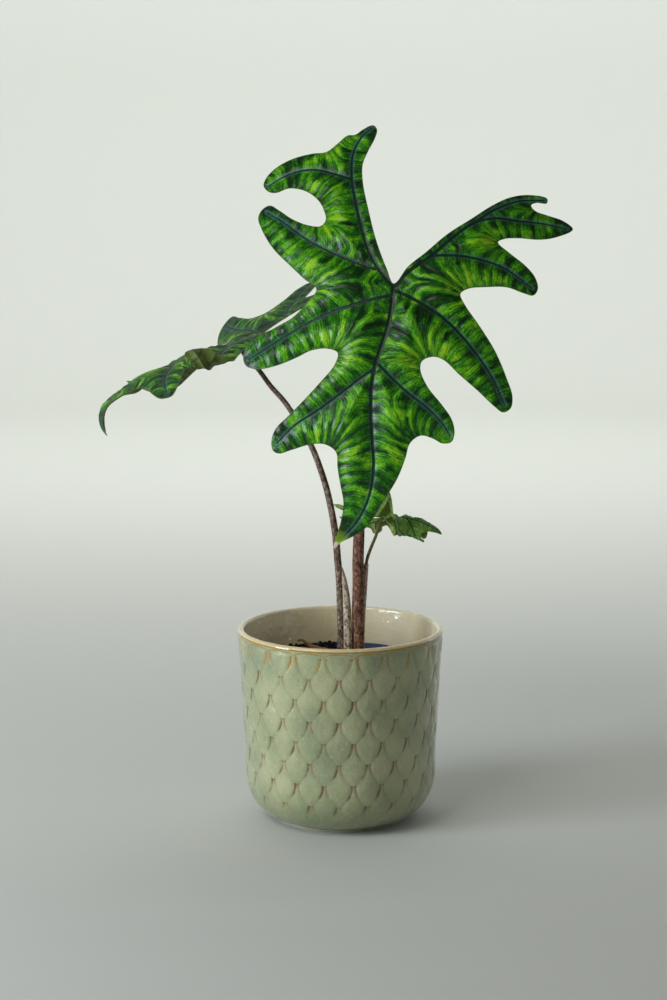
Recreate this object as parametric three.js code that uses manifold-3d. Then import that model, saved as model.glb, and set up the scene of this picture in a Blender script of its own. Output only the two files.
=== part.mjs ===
// A potted alocasia: three leaves on speckled stems, standing in the soil of a plastic grow pot
// inside a glazed pot with an ogee relief. Millimetres, +Z up, origin under the middle of the foot.
import * as THREE from "three";
import Module from "manifold-3d";
import { mergeVertices } from "three/addons/utils/BufferGeometryUtils.js";

const wasm = await Module();
wasm.setup();

// Driving dimensions
const gap = 0.3;
const stemSides = 8;
const pot = {
  height: 132,
  rimRadius: 69.6,
  rimRound: 2.2,
  beltRadius: 64.6,
  beltHeight: 32,
  footRadius: 43,
  footHeight: 3,
  wall: 4.4,
  floor: 8,
};
const ogee = {
  columns: 21,
  turn: -0.0145,
  row: 14.5,
  firstNeck: 125.5,
  neck: 1.9,
  spread: 2.3,
  swell: 1.4,
  round: 6,
  fadeFrom: 13,
  fadeTo: 26,
};
const growPot = {
  top: 108,
  topRadius: 56,
  footRadius: 40,
  wall: 0.9,
  lip: 2.2,
  lipHeight: 4,
  hole: 5,
  holeRing: 30,
  segments: 36,
};
const soil = { edge: 102, crown: 108.5, lumps: 1.3, crumbs: 0.5 };
const blade = { thick: 1, groove: 0.5, grooveWidth: 1.4, rib: 1.5, ribWidth: 2 };

// Solids and the steps between them
function solidOf(geometry) {
  const bare = geometry.index ? geometry : mergeVertices(geometry);
  for (const name of Object.keys(bare.attributes)) if (name !== "position") bare.deleteAttribute(name);
  const merged = mergeVertices(bare, 1e-3);
  return new wasm.Manifold(
    new wasm.Mesh({
      numProp: 3,
      vertProperties: merged.attributes.position.array,
      triVerts: new Uint32Array(merged.index.array),
    }),
  );
}

function geometryOf(solid) {
  const { vertProperties, triVerts } = solid.getMesh();
  return new THREE.BufferGeometry()
    .setAttribute("position", new THREE.BufferAttribute(vertProperties, 3))
    .setIndex(new THREE.BufferAttribute(triVerts, 1));
}

const vector = (p) => new THREE.Vector3(...p);
const smooth = (low, high, x) => THREE.MathUtils.smoothstep(x, low, high);

// A LatheGeometry stood up on +Z. shape(strand, level, z) may turn a point by an angle and move it out,
// where strand counts the points round the axis and level those of the profile.
function turned(profile, segments, shape = () => ({ turn: 0, out: 0 })) {
  const points = profile.map(([r, z]) => new THREE.Vector2(r, z));
  const geometry = new THREE.LatheGeometry(points, segments).rotateX(Math.PI / 2);
  const at = geometry.attributes.position;
  for (let i = 0; i < at.count; i++) {
    const level = i % profile.length;
    const strand = Math.floor(i / profile.length) % segments;
    const [radius, z] = profile[level];
    if (radius === 0) continue;
    const { turn, out } = shape(strand, level, z);
    const angle = (strand * 2 * Math.PI) / segments + turn;
    at.setXY(i, (radius + out) * Math.cos(angle), (radius + out) * Math.sin(angle));
  }
  return geometry;
}

// A cylinder bent along a curve, with its radius given along the curve and its section squeezed by flat
function stem(path, radiusAt, { steps, flat = 1 }) {
  const curve = new THREE.CatmullRomCurve3(path.map(vector), false, "centripetal");
  const frames = curve.computeFrenetFrames(steps);
  const geometry = new THREE.CylinderGeometry(1, 1, 1, stemSides, steps);
  const at = geometry.attributes.position;
  for (let i = 0; i < at.count; i++) {
    const step = Math.round((at.getY(i) + 0.5) * steps);
    const along = step / steps;
    const spin = Math.atan2(at.getX(i), at.getZ(i));
    const reach = Math.hypot(at.getX(i), at.getZ(i)) * radiusAt(along);
    const point = curve
      .getPointAt(along)
      .addScaledVector(frames.normals[step], reach * Math.cos(spin) * flat)
      .addScaledVector(frames.binormals[step], reach * Math.sin(spin));
    at.setXYZ(i, ...point);
  }
  return geometry;
}

// Flat geometry of a leaf
const distance = ([ax, ay], [bx, by]) => Math.hypot(ax - bx, ay - by);

function toSegment([x, y], [ax, ay], [bx, by]) {
  const [dx, dy] = [bx - ax, by - ay];
  const t = THREE.MathUtils.clamp(((x - ax) * dx + (y - ay) * dy) / (dx * dx + dy * dy), 0, 1);
  return Math.hypot(x - ax - t * dx, y - ay - t * dy);
}

function toLine(p, line) {
  let least = Infinity;
  for (let i = 1; i < line.length; i++) least = Math.min(least, toSegment(p, line[i - 1], line[i]));
  return least;
}

function inside([x, y], loop) {
  let odd = false;
  for (let i = 0, j = loop.length - 1; i < loop.length; j = i++) {
    const [[ax, ay], [bx, by]] = [loop[i], loop[j]];
    if (ay > y !== by > y && x < ((bx - ax) * (y - ay)) / (by - ay) + ax) odd = !odd;
  }
  return odd;
}

// Points at even steps along a smooth line through the given ones
function spaced(points, step, closed = false) {
  const curve = new THREE.CatmullRomCurve3(
    points.map(([u, v]) => new THREE.Vector3(u, v, 0)),
    closed,
    "centripetal",
  );
  curve.arcLengthDivisions = points.length * 20;
  const count = Math.max(2, Math.round(curve.getLength() / step));
  const found = curve.getSpacedPoints(count).map((p) => [p.x, p.y]);
  return closed ? found.slice(0, -1) : found;
}

// Delaunay triangles of flat points, by adding one point at a time
function delaunay(points) {
  const far = 1e4;
  const all = [...points, [-far, -far], [far, -far], [0, far]];
  const last = points.length;
  const withCircle = (a, b, c) => {
    const [[ax, ay], [bx, by], [cx, cy]] = [all[a], all[b], all[c]];
    const d = 2 * (ax * (by - cy) + bx * (cy - ay) + cx * (ay - by));
    const [a2, b2, c2] = [ax * ax + ay * ay, bx * bx + by * by, cx * cx + cy * cy];
    const x = (a2 * (by - cy) + b2 * (cy - ay) + c2 * (ay - by)) / d;
    const y = (a2 * (cx - bx) + b2 * (ax - cx) + c2 * (bx - ax)) / d;
    return { corners: [a, b, c], x, y, reach: (ax - x) ** 2 + (ay - y) ** 2 };
  };
  let triangles = [withCircle(last, last + 1, last + 2)];
  points.forEach(([x, y], index) => {
    const open = new Map();
    triangles = triangles.filter((t) => {
      if ((x - t.x) ** 2 + (y - t.y) ** 2 > t.reach) return true;
      const [a, b, c] = t.corners;
      for (const [from, to] of [[a, b], [b, c], [c, a]]) {
        if (!open.delete(to + ":" + from)) open.set(from + ":" + to, [from, to]);
      }
      return false;
    });
    for (const [from, to] of open.values()) triangles.push(withCircle(from, to, index));
  });
  return triangles.map((t) => t.corners).filter((corners) => Math.max(...corners) < last);
}

// A fold turns what lies past a line through from, square to toward, up by angle round an arc, or
// down where angle is negative. It reaches half of width to each side.
function folded([u, v, h], { from, toward, radius, angle, width = Infinity }) {
  const length = Math.hypot(...toward);
  const [du, dv] = toward.map((part) => part / length);
  const past = (u - from[0]) * du + (v - from[1]) * dv;
  const aside = (u - from[0]) * dv - (v - from[1]) * du;
  if (past <= 0 || Math.abs(aside) > width / 2) return [u, v, h];
  const sign = Math.sign(angle);
  const turn = Math.min(past / radius, Math.abs(angle));
  const onward = past - turn * radius;
  const reach = radius * Math.sin(turn) + onward * Math.cos(turn) - sign * h * Math.sin(turn);
  const rise = sign * (radius * (1 - Math.cos(turn)) + onward * Math.sin(turn)) + h * Math.cos(turn);
  return [u + (reach - past) * du, v + (reach - past) * dv, rise];
}

// A leaf's own frame: u runs across it, v from the tip to the stem end, h stands off the blade.
// The flat blade is folded, arched across, twisted round its midrib between two levels and arched
// along. The curvatures are those at its front and back. The one across blends into the other over
// a stretch to both sides of a middle level.
const untwisted = { from: 0, to: 1, angle: 0 };
function poseOf({ at, tip, face, across, along, twist = untwisted, folds = [] }) {
  const back = vector(tip).normalize().negate();
  const up = vector(face).addScaledVector(back, -vector(face).dot(back)).normalize();
  const side = new THREE.Vector3().crossVectors(back, up).normalize();
  return (...flat) => {
    const [u, v, h] = folds.reduce(folded, flat);
    const { middle = 0, blend } = across;
    const behind = smooth(middle - blend, middle + blend, v);
    const bend = THREE.MathUtils.lerp(across.front, across.back, behind);
    const out = Math.sin(u * bend) / bend + h * Math.sin(u * bend);
    const above = (Math.cos(u * bend) - 1) / bend + h * Math.cos(u * bend);
    const turn = twist.angle * smooth(twist.from, twist.to, -v);
    const sideways = out * Math.cos(turn) - above * Math.sin(turn);
    const rise = out * Math.sin(turn) + above * Math.cos(turn);
    const curve = v < 0 ? along.front : along.back;
    return vector(at)
      .addScaledVector(side, sideways)
      .addScaledVector(back, Math.sin(v * curve) / curve + rise * Math.sin(v * curve))
      .addScaledVector(up, (Math.cos(v * curve) - 1) / curve + rise * Math.cos(v * curve));
  };
}

// The heights of a blade's two faces: pillows between the veins that die away at the edge, grooves
// over the veins and ribs under them
function facesOf({ veins, rise, spread }, loop) {
  const fade = (away, width) => Math.exp(-((away / width) ** 2));
  return (p) => {
    const off = Math.min(...veins.map((vein) => toLine(p, vein)));
    const pillow = (1 - fade(off, spread)) * (1 - fade(toLine(p, loop), spread));
    const top = rise * pillow - blade.groove * fade(off, blade.grooveWidth);
    return [top, top - blade.thick - blade.rib * fade(off, blade.ribWidth)];
  };
}

// One closed blade: points on the outline, along the veins and between them, joined by Delaunay
// triangles that are alike on both faces, with a wall round the outline
function bladeGeometry(leaf) {
  const { outline, veins, edgeStep, veinStep, fillStep } = leaf;
  const edge = spaced(outline, edgeStep, true);
  const points = [...edge];
  const loop = [...edge, edge[0]];
  const add = (p, clear, fromEdge) => {
    if (!inside(p, edge) || toLine(p, loop) < fromEdge) return;
    if (points.slice(edge.length).every((q) => distance(p, q) > clear)) points.push(p);
  };
  const flank = 2.4;
  for (const vein of veins) {
    const line = spaced(vein, veinStep);
    line.forEach((p) => add(p, flank * 0.8, edgeStep * 0.6));
    line.forEach(([u, v], i) => {
      const [nu, nv] = line[Math.min(i + 1, line.length - 1)];
      const [lu, lv] = line[Math.max(i - 1, 0)];
      const length = distance([nu, nv], [lu, lv]) || 1;
      const [du, dv] = [((lv - nv) / length) * flank, ((nu - lu) / length) * flank];
      add([u + du, v + dv], flank * 0.8, edgeStep * 0.6);
      add([u - du, v - dv], flank * 0.8, edgeStep * 0.6);
    });
  }
  const box = new THREE.Box2().setFromPoints(edge.map(([u, v]) => new THREE.Vector2(u, v)));
  const rowStep = (fillStep * Math.sqrt(3)) / 2;
  for (let row = 0, v = box.min.y; v < box.max.y; v += rowStep, row++) {
    for (let u = box.min.x + ((row % 2) * fillStep) / 2; u < box.max.x; u += fillStep) {
      add([u, v], fillStep * 0.62, Math.max(edgeStep, fillStep) * 0.55);
    }
  }
  const middle = (corners) => [0, 1].map((k) => corners.reduce((sum, c) => sum + points[c][k] / 3, 0));
  const kept = delaunay(points).filter((corners) => inside(middle(corners), edge));
  const place = poseOf(leaf.pose);
  const faces = facesOf(leaf, loop);
  const count = points.length;
  const places = new Float32Array(count * 6);
  points.forEach((p, i) => {
    const [top, under] = faces(p);
    places.set(place(...p, top).toArray(), i * 3);
    places.set(place(...p, under).toArray(), (count + i) * 3);
  });
  const turnsLeft = ([a, b, c]) =>
    (points[b][0] - points[a][0]) * (points[c][1] - points[a][1]) >
    (points[c][0] - points[a][0]) * (points[b][1] - points[a][1]);
  const index = [];
  for (const corners of kept) {
    const [a, b, c] = turnsLeft(corners) ? corners : [...corners].reverse();
    index.push(a, b, c, count + c, count + b, count + a);
  }
  const area = edge.reduce((sum, [u, v], i) => {
    const [nu, nv] = edge[(i + 1) % edge.length];
    return sum + u * nv - nu * v;
  }, 0);
  edge.forEach((_, i) => {
    const [a, b] = area > 0 ? [i, (i + 1) % edge.length] : [(i + 1) % edge.length, i];
    index.push(a, count + a, b, b, count + a, count + b);
  });
  const geometry = new THREE.BufferGeometry().setAttribute("position", new THREE.BufferAttribute(places, 3));
  return geometry.setIndex(index);
}

// The large leaf that faces the front. Its outline goes round from the notch at the stem.
const mainLeaf = {
  outline: [
    [0, 2],
    // left hind lobe, up its straight inner side and round its two ends
    [-5, 12], [-13, 33], [-19, 55], [-24, 77], [-25, 92], [-22, 103], [-18, 114], [-17, 122], [-20, 126],
    [-26, 123], [-32, 118], [-37, 118], [-44, 111], [-51, 105], [-61, 105], [-75, 103], [-86, 98],
    [-93, 91], [-95, 84], [-91, 78], [-85, 76], [-76, 78], [-64, 74], [-54, 65], [-49, 55], [-48, 49],
    // left hind side lobe
    [-51, 45], [-59, 46], [-71, 52], [-82, 61], [-89, 66], [-94, 64], [-97, 58], [-93, 46], [-84, 31],
    [-72, 18], [-61, 7], [-52, -1],
    // left front lobe
    [-58, -10], [-68, -20], [-81, -27], [-91, -31], [-100, -38], [-103, -45], [-101, -52], [-93, -55],
    [-79, -53], [-65, -48], [-54, -43], [-43, -42], [-36, -45],
    // left lobe beside the tip
    [-38, -53], [-47, -64], [-58, -76], [-69, -87], [-78, -96], [-81, -104], [-80, -111], [-76, -113],
    [-66, -110], [-53, -106], [-43, -106],
    // tip
    [-36, -111], [-35, -121], [-33, -133], [-31, -145], [-33, -158], [-36, -168], [-38, -177], [-33, -172],
    [-24, -167], [-15, -160], [-5, -144], [5, -127], [10, -114],
    // right lobe beside the tip
    [13, -104], [20, -99], [28, -101], [34, -104], [40, -103], [42, -97], [40, -88], [33, -78], [24, -67],
    [19, -56], [20, -50],
    // right front lobe
    [27, -47], [34, -49], [44, -58], [57, -69], [68, -79], [74, -83], [79, -80], [80, -72], [76, -60],
    [68, -42], [57, -25], [47, -11], [44, -4],
    // right hind side lobe
    [49, 0], [61, 2], [75, 3], [86, 0], [93, -1], [96, 4], [94, 12], [87, 20], [76, 28], [68, 35],
    // right hind lobe and its hooked end
    [72, 38], [82, 40], [96, 41], [108, 45], [120, 54], [113, 59], [102, 61], [93, 63], [90, 67], [94, 70],
    [101, 71], [101, 75], [88, 75], [76, 71], [64, 63], [50, 51], [34, 38], [20, 24], [9, 14],
  ],
  veins: [
    [[0, 0], [-2, -22], [-7, -41], [-11, -54], [-13, -69], [-13, -84], [-12, -103], [-11, -120], [-14, -140],
      [-22, -157], [-35, -172]],
    [[0, 0], [-8, 9], [-17, 24], [-24, 45], [-29, 65], [-32, 82], [-32, 102], [-27, 116], [-20, 124]],
    [[-13, 12], [-30, 19], [-48, 28], [-62, 37], [-77, 50], [-91, 61]],
    [[-32, 80], [-45, 86], [-59, 91], [-72, 91], [-84, 87], [-91, 83]],
    [[-1, -6], [-18, -10], [-37, -16], [-54, -23], [-71, -32], [-85, -40], [-99, -48]],
    [[-12, -56], [-23, -64], [-36, -74], [-50, -84], [-64, -93], [-77, -106]],
    [[1, 0], [9, 10], [24, 22], [39, 37], [52, 48], [66, 53], [82, 53], [100, 54], [116, 53]],
    [[24, 22], [41, 23], [58, 21], [74, 16], [92, 4]],
    [[52, 48], [66, 60], [82, 69], [99, 73]],
    [[2, -3], [16, -10], [32, -20], [45, -32], [56, -45], [67, -61], [75, -78]],
    [[-8, -53], [2, -63], [11, -71], [23, -80], [34, -91], [39, -99]],
  ],
  rise: 5,
  spread: 11,
  edgeStep: 4.6,
  veinStep: 6,
  fillStep: 9,
  pose: {
    at: [35, -8, 363],
    tip: [-0.039, -0.373, -0.927],
    face: [-0.097, -0.922, 0.375],
    across: { front: 1 / 300, back: 1 / 300, blend: 1 },
    along: { front: 1 / 340, back: 1 / 340 },
  },
};

// Half of an even leaf, from its tip round one side to the notch, and its veins on that side
const halfOutline = [
  [7, -118], [12, -105], [17, -95], [24, -86], [36, -83], [50, -83], [60, -81], [64, -74], [59, -66],
  [47, -59], [38, -53], [38, -47], [47, -46], [62, -53], [78, -62], [88, -63], [92, -56], [84, -43],
  [68, -28], [49, -15], [38, -3], [45, 7], [64, 10], [79, 16], [88, 24], [85, 32], [69, 32], [52, 33],
  [45, 40], [50, 58], [60, 74], [62, 84], [54, 87], [42, 77], [31, 67], [27, 73], [27, 88], [20, 94],
  [14, 84], [10, 62], [6, 34],
];
const halfVeins = [
  [[0, 0], [9, 14], [15, 34], [19, 60], [21, 88]],
  [[10, 16], [28, 20], [52, 21], [82, 26]],
  [[17, 44], [30, 54], [44, 68], [57, 82]],
  [[0, -6], [22, -17], [48, -37], [87, -59]],
  [[0, -50], [16, -58], [35, -68], [60, -76]],
];

// The longest lobe of the even leaf lies between two levels and is free of its neighbours past its root.
// The hindmost lobes lie past the tail.
const longLobe = { front: -70, hind: -8, root: 52 };
const tail = 35;

// The even leaf grown to a length. sweep gives, for its right and left side, how far the front and the
// hind lobes lean towards the tip, as shares of their reach from the midrib. On the right side the
// longest lobe keeps only a share, stub, of its free end, which is drawn back. hind is the growth of
// the left side's hindmost lobe.
function evenLeaf(length, { sweep, stub, hind, ...settings }) {
  const scale = length / 132;
  const lean = (v, sign) => (sign > 0 ? sweep.right : sweep.left)[v < longLobe.hind ? 0 : 1];
  const isLong = (v) => v > longLobe.front && v < longLobe.hind;
  const grown = ([u, v], sign) => {
    const short = sign > 0 && isLong(v) ? Math.max(0, u - longLobe.root) * (1 - stub) : 0;
    const level = v + short / 2 + (sign < 0 ? Math.max(0, v - tail) * (hind - 1) : 0);
    return [(u - short) * scale * sign, (level - lean(v, sign) * u) * scale];
  };
  const right = halfOutline.map((p) => grown(p, 1));
  const left = halfOutline.map((p) => grown(p, -1)).reverse();
  const midrib = [[0, 0], [0, -40 * scale], [0, -85 * scale], [0, -128 * scale]];
  return {
    outline: [[0, -132 * scale], ...right, [0, 4 * scale], ...left],
    veins: [midrib, ...[1, -1].flatMap((sign) => halfVeins.map((vein) => vein.map((p) => grown(p, sign))))],
    ...settings,
  };
}

const leftLeaf = evenLeaf(132, {
  sweep: { right: [0.08, -0.12], left: [0.14, 0.13] },
  stub: 0.35,
  hind: 1,
  rise: 3.5,
  spread: 10,
  edgeStep: 5,
  veinStep: 7,
  fillStep: 10,
  pose: {
    at: [-68, 72, 319],
    tip: [-0.93, -0.33, -0.17],
    face: [-0.17, 0.11, 0.95],
    across: { front: 1 / 130, back: -1 / 500, blend: 30 },
    along: { front: 1 / 270, back: 1 / 600 },
    folds: [
      // of the front's lobes one curls up and the one across from it lifts
      { from: [51, -30], toward: [0.95, -0.3], radius: 6.6, angle: 3.1, width: 60 },
      { from: [-56, -49], toward: [-0.81, -0.6], radius: 20, angle: 1, width: 34 },
      { from: [-36, -73], toward: [-0.88, -0.5], radius: 20, angle: 0.5, width: 34 },
      // two hind lobes hang
      { from: [46, 24], toward: [0.98, 0.2], radius: 6, angle: -3.1, width: 44 },
      { from: [42, 63], toward: [0.6, 0.8], radius: 12, angle: -1.1, width: 40 },
      // the tip hooks down, and the hind lobes rise
      { from: [0, -103], toward: [0, -1], radius: 18, angle: -1.6 },
      { from: [0, 2], toward: [-0.4, 0.92], radius: 25, angle: 0.4 },
    ],
  },
});

const smallLeaf = evenLeaf(44, {
  sweep: { right: [0.3, 0.2], left: [0.35, 0.5] },
  stub: 0.1,
  hind: 1.35,
  rise: 1.5,
  spread: 5,
  edgeStep: 3,
  veinStep: 6,
  fillStep: 7,
  pose: {
    at: [29.1, 32, 202],
    tip: [0.95, 0.1, 0.08],
    face: [0, 0.65, 0.76],
    across: { front: 1 / 7, back: -1 / 100, middle: -7, blend: 4 },
    along: { front: 1 / 50, back: -1 / 60 },
    twist: { from: 8, to: 16, angle: 1.2 },
  },
});

// Glazed pot
function bodyRadius(z) {
  if (z >= pot.beltHeight) {
    const rise = (z - pot.beltHeight) / (pot.height - pot.beltHeight);
    return pot.beltRadius + (pot.rimRadius - pot.beltRadius) * rise ** 1.3;
  }
  const drop = (pot.beltHeight - z) / (pot.beltHeight - pot.footHeight);
  return pot.footRadius + (pot.beltRadius - pot.footRadius) * Math.sqrt(Math.max(0, 1 - drop ** 2));
}

// Half the distance between the two lines of the net at a height: they start close together at the
// necks of a row and swing apart to meet those of the next, half a pitch further on.
const pitch = (2 * Math.PI) / ogee.columns;
const neckTurn = ogee.neck / pot.rimRadius;
function netLine(z) {
  const down = (ogee.firstNeck - z) / ogee.row;
  const row = Math.floor(down);
  const swing = neckTurn + (pitch / 2 - 2 * neckTurn) * Math.max(0, down - row) ** ogee.spread;
  return row % 2 === 0 ? swing : pitch / 2 - swing;
}

// The net at one of the four strands of a column: two follow its lines, and the other two run down
// the middle of the scales between them, which swell out.
function netPoint(strand, z) {
  const line = netLine(z);
  const part = strand % 4;
  if (part === 1) return { turn: line - pitch / 4, out: 0 };
  if (part === 3) return { turn: pitch / 4 - line, out: 0 };
  const halfWidth = (part === 0 ? line : pitch / 2 - line) * pot.rimRadius;
  return { turn: 0, out: ogee.swell * (1 - Math.exp(-((halfWidth / ogee.round) ** 2))) };
}

function glazedPot() {
  const profile = [[0, 0], [pot.footRadius - 1, 0]];
  const firstOuter = profile.length;
  const heights = [1.2, 4, 9];
  for (let row = 7.5; row > -0.1; row -= 1 / 3) heights.push(ogee.firstNeck - row * ogee.row);
  heights.forEach((z) => profile.push([bodyRadius(Math.max(z, pot.footHeight)), z]));
  const lastOuter = profile.length - 1;
  const lip = { radius: pot.rimRadius - pot.rimRound, z: pot.height - pot.rimRound };
  for (const turn of [0, 60, 120, 180]) {
    const a = THREE.MathUtils.degToRad(turn);
    profile.push([lip.radius + pot.rimRound * Math.cos(a), lip.z + pot.rimRound * Math.sin(a)]);
  }
  for (const z of [100, 45, 25, 14]) profile.push([bodyRadius(z) - pot.wall, z]);
  profile.push([pot.footRadius - 1, pot.floor], [0, pot.floor]);
  const frontTurn = -Math.PI / 2 + pitch / 2 + ogee.turn;
  return turned(profile, ogee.columns * 4, (strand, level, z) => {
    if (level < firstOuter || level > lastOuter) return { turn: frontTurn, out: 0 };
    const { turn, out } = netPoint(strand, z);
    const fade = smooth(ogee.fadeFrom, ogee.fadeTo, z);
    return { turn: frontTurn + turn * fade, out: out * fade };
  });
}

// Plastic grow pot, with a rolled lip and drain holes
const growRadius = (z) => {
  const foot = pot.floor + gap;
  return growPot.footRadius + ((growPot.topRadius - growPot.footRadius) * (z - foot)) / (growPot.top - foot);
};

function plasticPot() {
  const foot = pot.floor + gap;
  const { top, wall, lip, lipHeight } = growPot;
  const shell = solidOf(
    turned(
      [[0, foot], [growPot.footRadius, foot], [growRadius(top - lipHeight), top - lipHeight],
        [growRadius(top) + lip, top - lipHeight], [growRadius(top) + lip, top], [growRadius(top) - wall, top],
        [growRadius(foot + wall) - wall, foot + wall], [0, foot + wall]],
      growPot.segments,
    ),
  );
  const drains = [0, 60, 120, 180, 240, 300].map((turn) => {
    const a = THREE.MathUtils.degToRad(turn);
    const drain = new THREE.CylinderGeometry(growPot.hole, growPot.hole, 6, 8).rotateX(Math.PI / 2);
    return solidOf(drain.translate(growPot.holeRing * Math.cos(a), growPot.holeRing * Math.sin(a), foot));
  });
  return geometryOf(drains.reduce((left, drain) => left.subtract(drain), shell));
}

// Stems, each from its end in the soil to its blade. The last stretch meets the blade square on.
function stemTop(leaf, reach) {
  const place = poseOf(leaf.pose);
  const under = -(blade.thick + blade.rib + blade.groove + gap);
  return [place(0, -1, under - reach).toArray(), place(0, -1, under).toArray()];
}

const stems = {
  main: {
    path: [[12, 1, 70], [12, 1, 125], [12.3, 1, 188], [15, 4, 260], [23, 9, 315], [31, 11, 346],
      ...stemTop(mainLeaf, 7)],
    radius: (t) => 4.05 - 1.8 * t ** 2,
    steps: 24,
  },
  left: {
    path: [[0.3, 2, 70], [0.3, 2, 140], [-1.3, 2.5, 172], [-4.8, 6, 204.3], [-11.1, 15, 230.3],
      [-20.1, 26, 252.7], [-36.8, 44.5, 278], [-48.7, 56, 290.5], [-57, 64, 300.5], ...stemTop(leftLeaf, 5)],
    radius: (t) => 2.9 - 1.4 * t,
    steps: 24,
  },
  small: {
    path: [[14.4, 7.4, 70], [14.4, 7.4, 118], [16.3, 6.3, 156], [17.4, 5.3, 173], [18.4, 6.5, 178],
      [20.7, 10, 184], [23.9, 15, 191], [27.3, 22, 198.5], ...stemTop(smallLeaf, 1.5)],
    radius: (t) => 1.4 - 0.4 * t,
    steps: 18,
  },
};

// A stem, or with wider its hole in the soil, that much wider all round and deeper at its foot
function stemGeometry({ path, radius, steps, flat }, wider = 0) {
  const [foot, next] = path.slice(0, 2).map(vector);
  const deeper = foot.clone().add(foot.clone().sub(next).setLength(wider));
  return stem([deeper.toArray(), ...path.slice(1)], (t) => radius(t) + wider, { steps, flat });
}

// The pale sheath that wraps the foot of the left stem, and the one the small stem grows out of
const sheaths = {
  left: {
    path: [[4.85, 0.8, 70], [4.85, 0.8, 125], [3.8, 1, 150], [2.4, 1.6, 161], [0.6, 2.3, 172]],
    radius: (t) => 2.8 * Math.sqrt(1 - 0.92 * t ** 3),
    steps: 14,
  },
  small: {
    path: [[14.4, 7.4, 70], [14.4, 7.4, 118], [16.3, 6.3, 156], [17.5, 5.2, 174]],
    radius: (t) => 2.2 - 0.6 * t,
    steps: 10,
  },
};

const joined = (...geometries) => geometryOf(geometries.map(solidOf).reduce((all, one) => all.add(one)));

// A curled scrap of dry sheath that lies on the soil at the left
const scrap = {
  path: [[-9, 36, 107], [-15, 37, 107.4], [-21, 38.5, 109.2], [-27, 40, 112.4], [-30, 40, 112.2]],
  radius: (t) => 0.9 + 1.2 * Math.sin(Math.PI * (0.2 + 0.7 * t)),
  steps: 12,
  flat: 0.6,
};

// Soil in the grow pot, a little higher in the middle, with a plain hole round each stem
function soilBody() {
  const { wall } = growPot;
  const foot = pot.floor + gap + wall + gap;
  const clear = (z) => growRadius(z) - wall - gap;
  const brim = clear(soil.edge);
  const profile = [[0, foot], [clear(foot), foot], [brim, soil.edge]];
  for (const share of [0.85, 0.62, 0.36, 0]) {
    profile.push([brim * share, soil.crown + (soil.edge - soil.crown) * share ** 2]);
  }
  const body = turned(profile, growPot.segments);
  const at = body.attributes.position;
  for (let i = 0; i < at.count; i++) {
    const [x, y, z] = [at.getX(i), at.getY(i), at.getZ(i)];
    const lump = soil.lumps * Math.sin(x * 0.31 + 1) * Math.cos(y * 0.27);
    if (z > soil.edge + 0.1) at.setZ(i, z + lump + soil.crumbs * Math.sin(x * 0.9 + y * 0.7));
  }
  const standing = [...Object.values(stems), ...Object.values(sheaths), scrap];
  const holes = standing.map((one) => solidOf(stemGeometry(one, gap)));
  return geometryOf(holes.reduce((left, hole) => left.subtract(hole), solidOf(body)));
}

// Finishes
const finish = (color, roughness) => new THREE.MeshStandardMaterial({ color, roughness });
const finishes = {
  glaze: finish(0x98a283, 0.25),
  plastic: finish(0x1b2a3d, 0.45),
  earth: finish(0x33241a, 0.95),
  bladeGreen: finish(0x3f8a1c, 0.4),
  stemBrown: finish(0x6b4f45, 0.6),
  dryBrown: finish(0x8a5a34, 0.8),
};

const plant = new THREE.Group();
function piece(name, geometry, material) {
  const mesh = new THREE.Mesh(geometry, material);
  mesh.name = name;
  plant.add(mesh);
}

piece("glazed_pot", glazedPot(), finishes.glaze);
piece("grow_pot", plasticPot(), finishes.plastic);
piece("soil", soilBody(), finishes.earth);
piece("main_stem", stemGeometry(stems.main), finishes.stemBrown);
piece("left_stem", joined(stemGeometry(stems.left), stemGeometry(sheaths.left)), finishes.stemBrown);
piece("small_stem", joined(stemGeometry(stems.small), stemGeometry(sheaths.small)), finishes.stemBrown);
piece("main_leaf", bladeGeometry(mainLeaf), finishes.bladeGreen);
piece("left_leaf", bladeGeometry(leftLeaf), finishes.bladeGreen);
piece("small_leaf", bladeGeometry(smallLeaf), finishes.bladeGreen);
piece("dry_sheath", stemGeometry(scrap), finishes.dryBrown);

export default plant;
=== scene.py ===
import math
import random
from functools import partial

import bmesh
import bpy
import numpy as np
from mathutils import Matrix, Vector, kdtree, noise


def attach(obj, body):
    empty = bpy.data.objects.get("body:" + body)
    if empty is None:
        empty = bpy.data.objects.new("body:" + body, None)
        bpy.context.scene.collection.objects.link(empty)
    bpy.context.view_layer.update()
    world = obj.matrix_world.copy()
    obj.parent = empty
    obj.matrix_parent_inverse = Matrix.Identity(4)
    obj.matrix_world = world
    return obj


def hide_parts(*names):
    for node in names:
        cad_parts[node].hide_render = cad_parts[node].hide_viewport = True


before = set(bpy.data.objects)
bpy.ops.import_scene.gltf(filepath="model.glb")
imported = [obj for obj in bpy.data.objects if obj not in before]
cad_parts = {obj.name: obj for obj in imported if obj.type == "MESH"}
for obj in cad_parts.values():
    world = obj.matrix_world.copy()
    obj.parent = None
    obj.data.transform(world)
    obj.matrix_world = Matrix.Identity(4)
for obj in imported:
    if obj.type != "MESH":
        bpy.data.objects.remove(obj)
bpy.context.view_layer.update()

mm = 0.001  # every size below is in millimetres
collection = bpy.context.scene.collection


def toLinear(hexColor):
    parts = [int(hexColor[i:i + 2], 16) / 255 for i in (1, 3, 5)]
    return tuple(p / 12.92 if p <= 0.04045 else ((p + 0.055) / 1.055) ** 2.4 for p in parts) + (1,)


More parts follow.
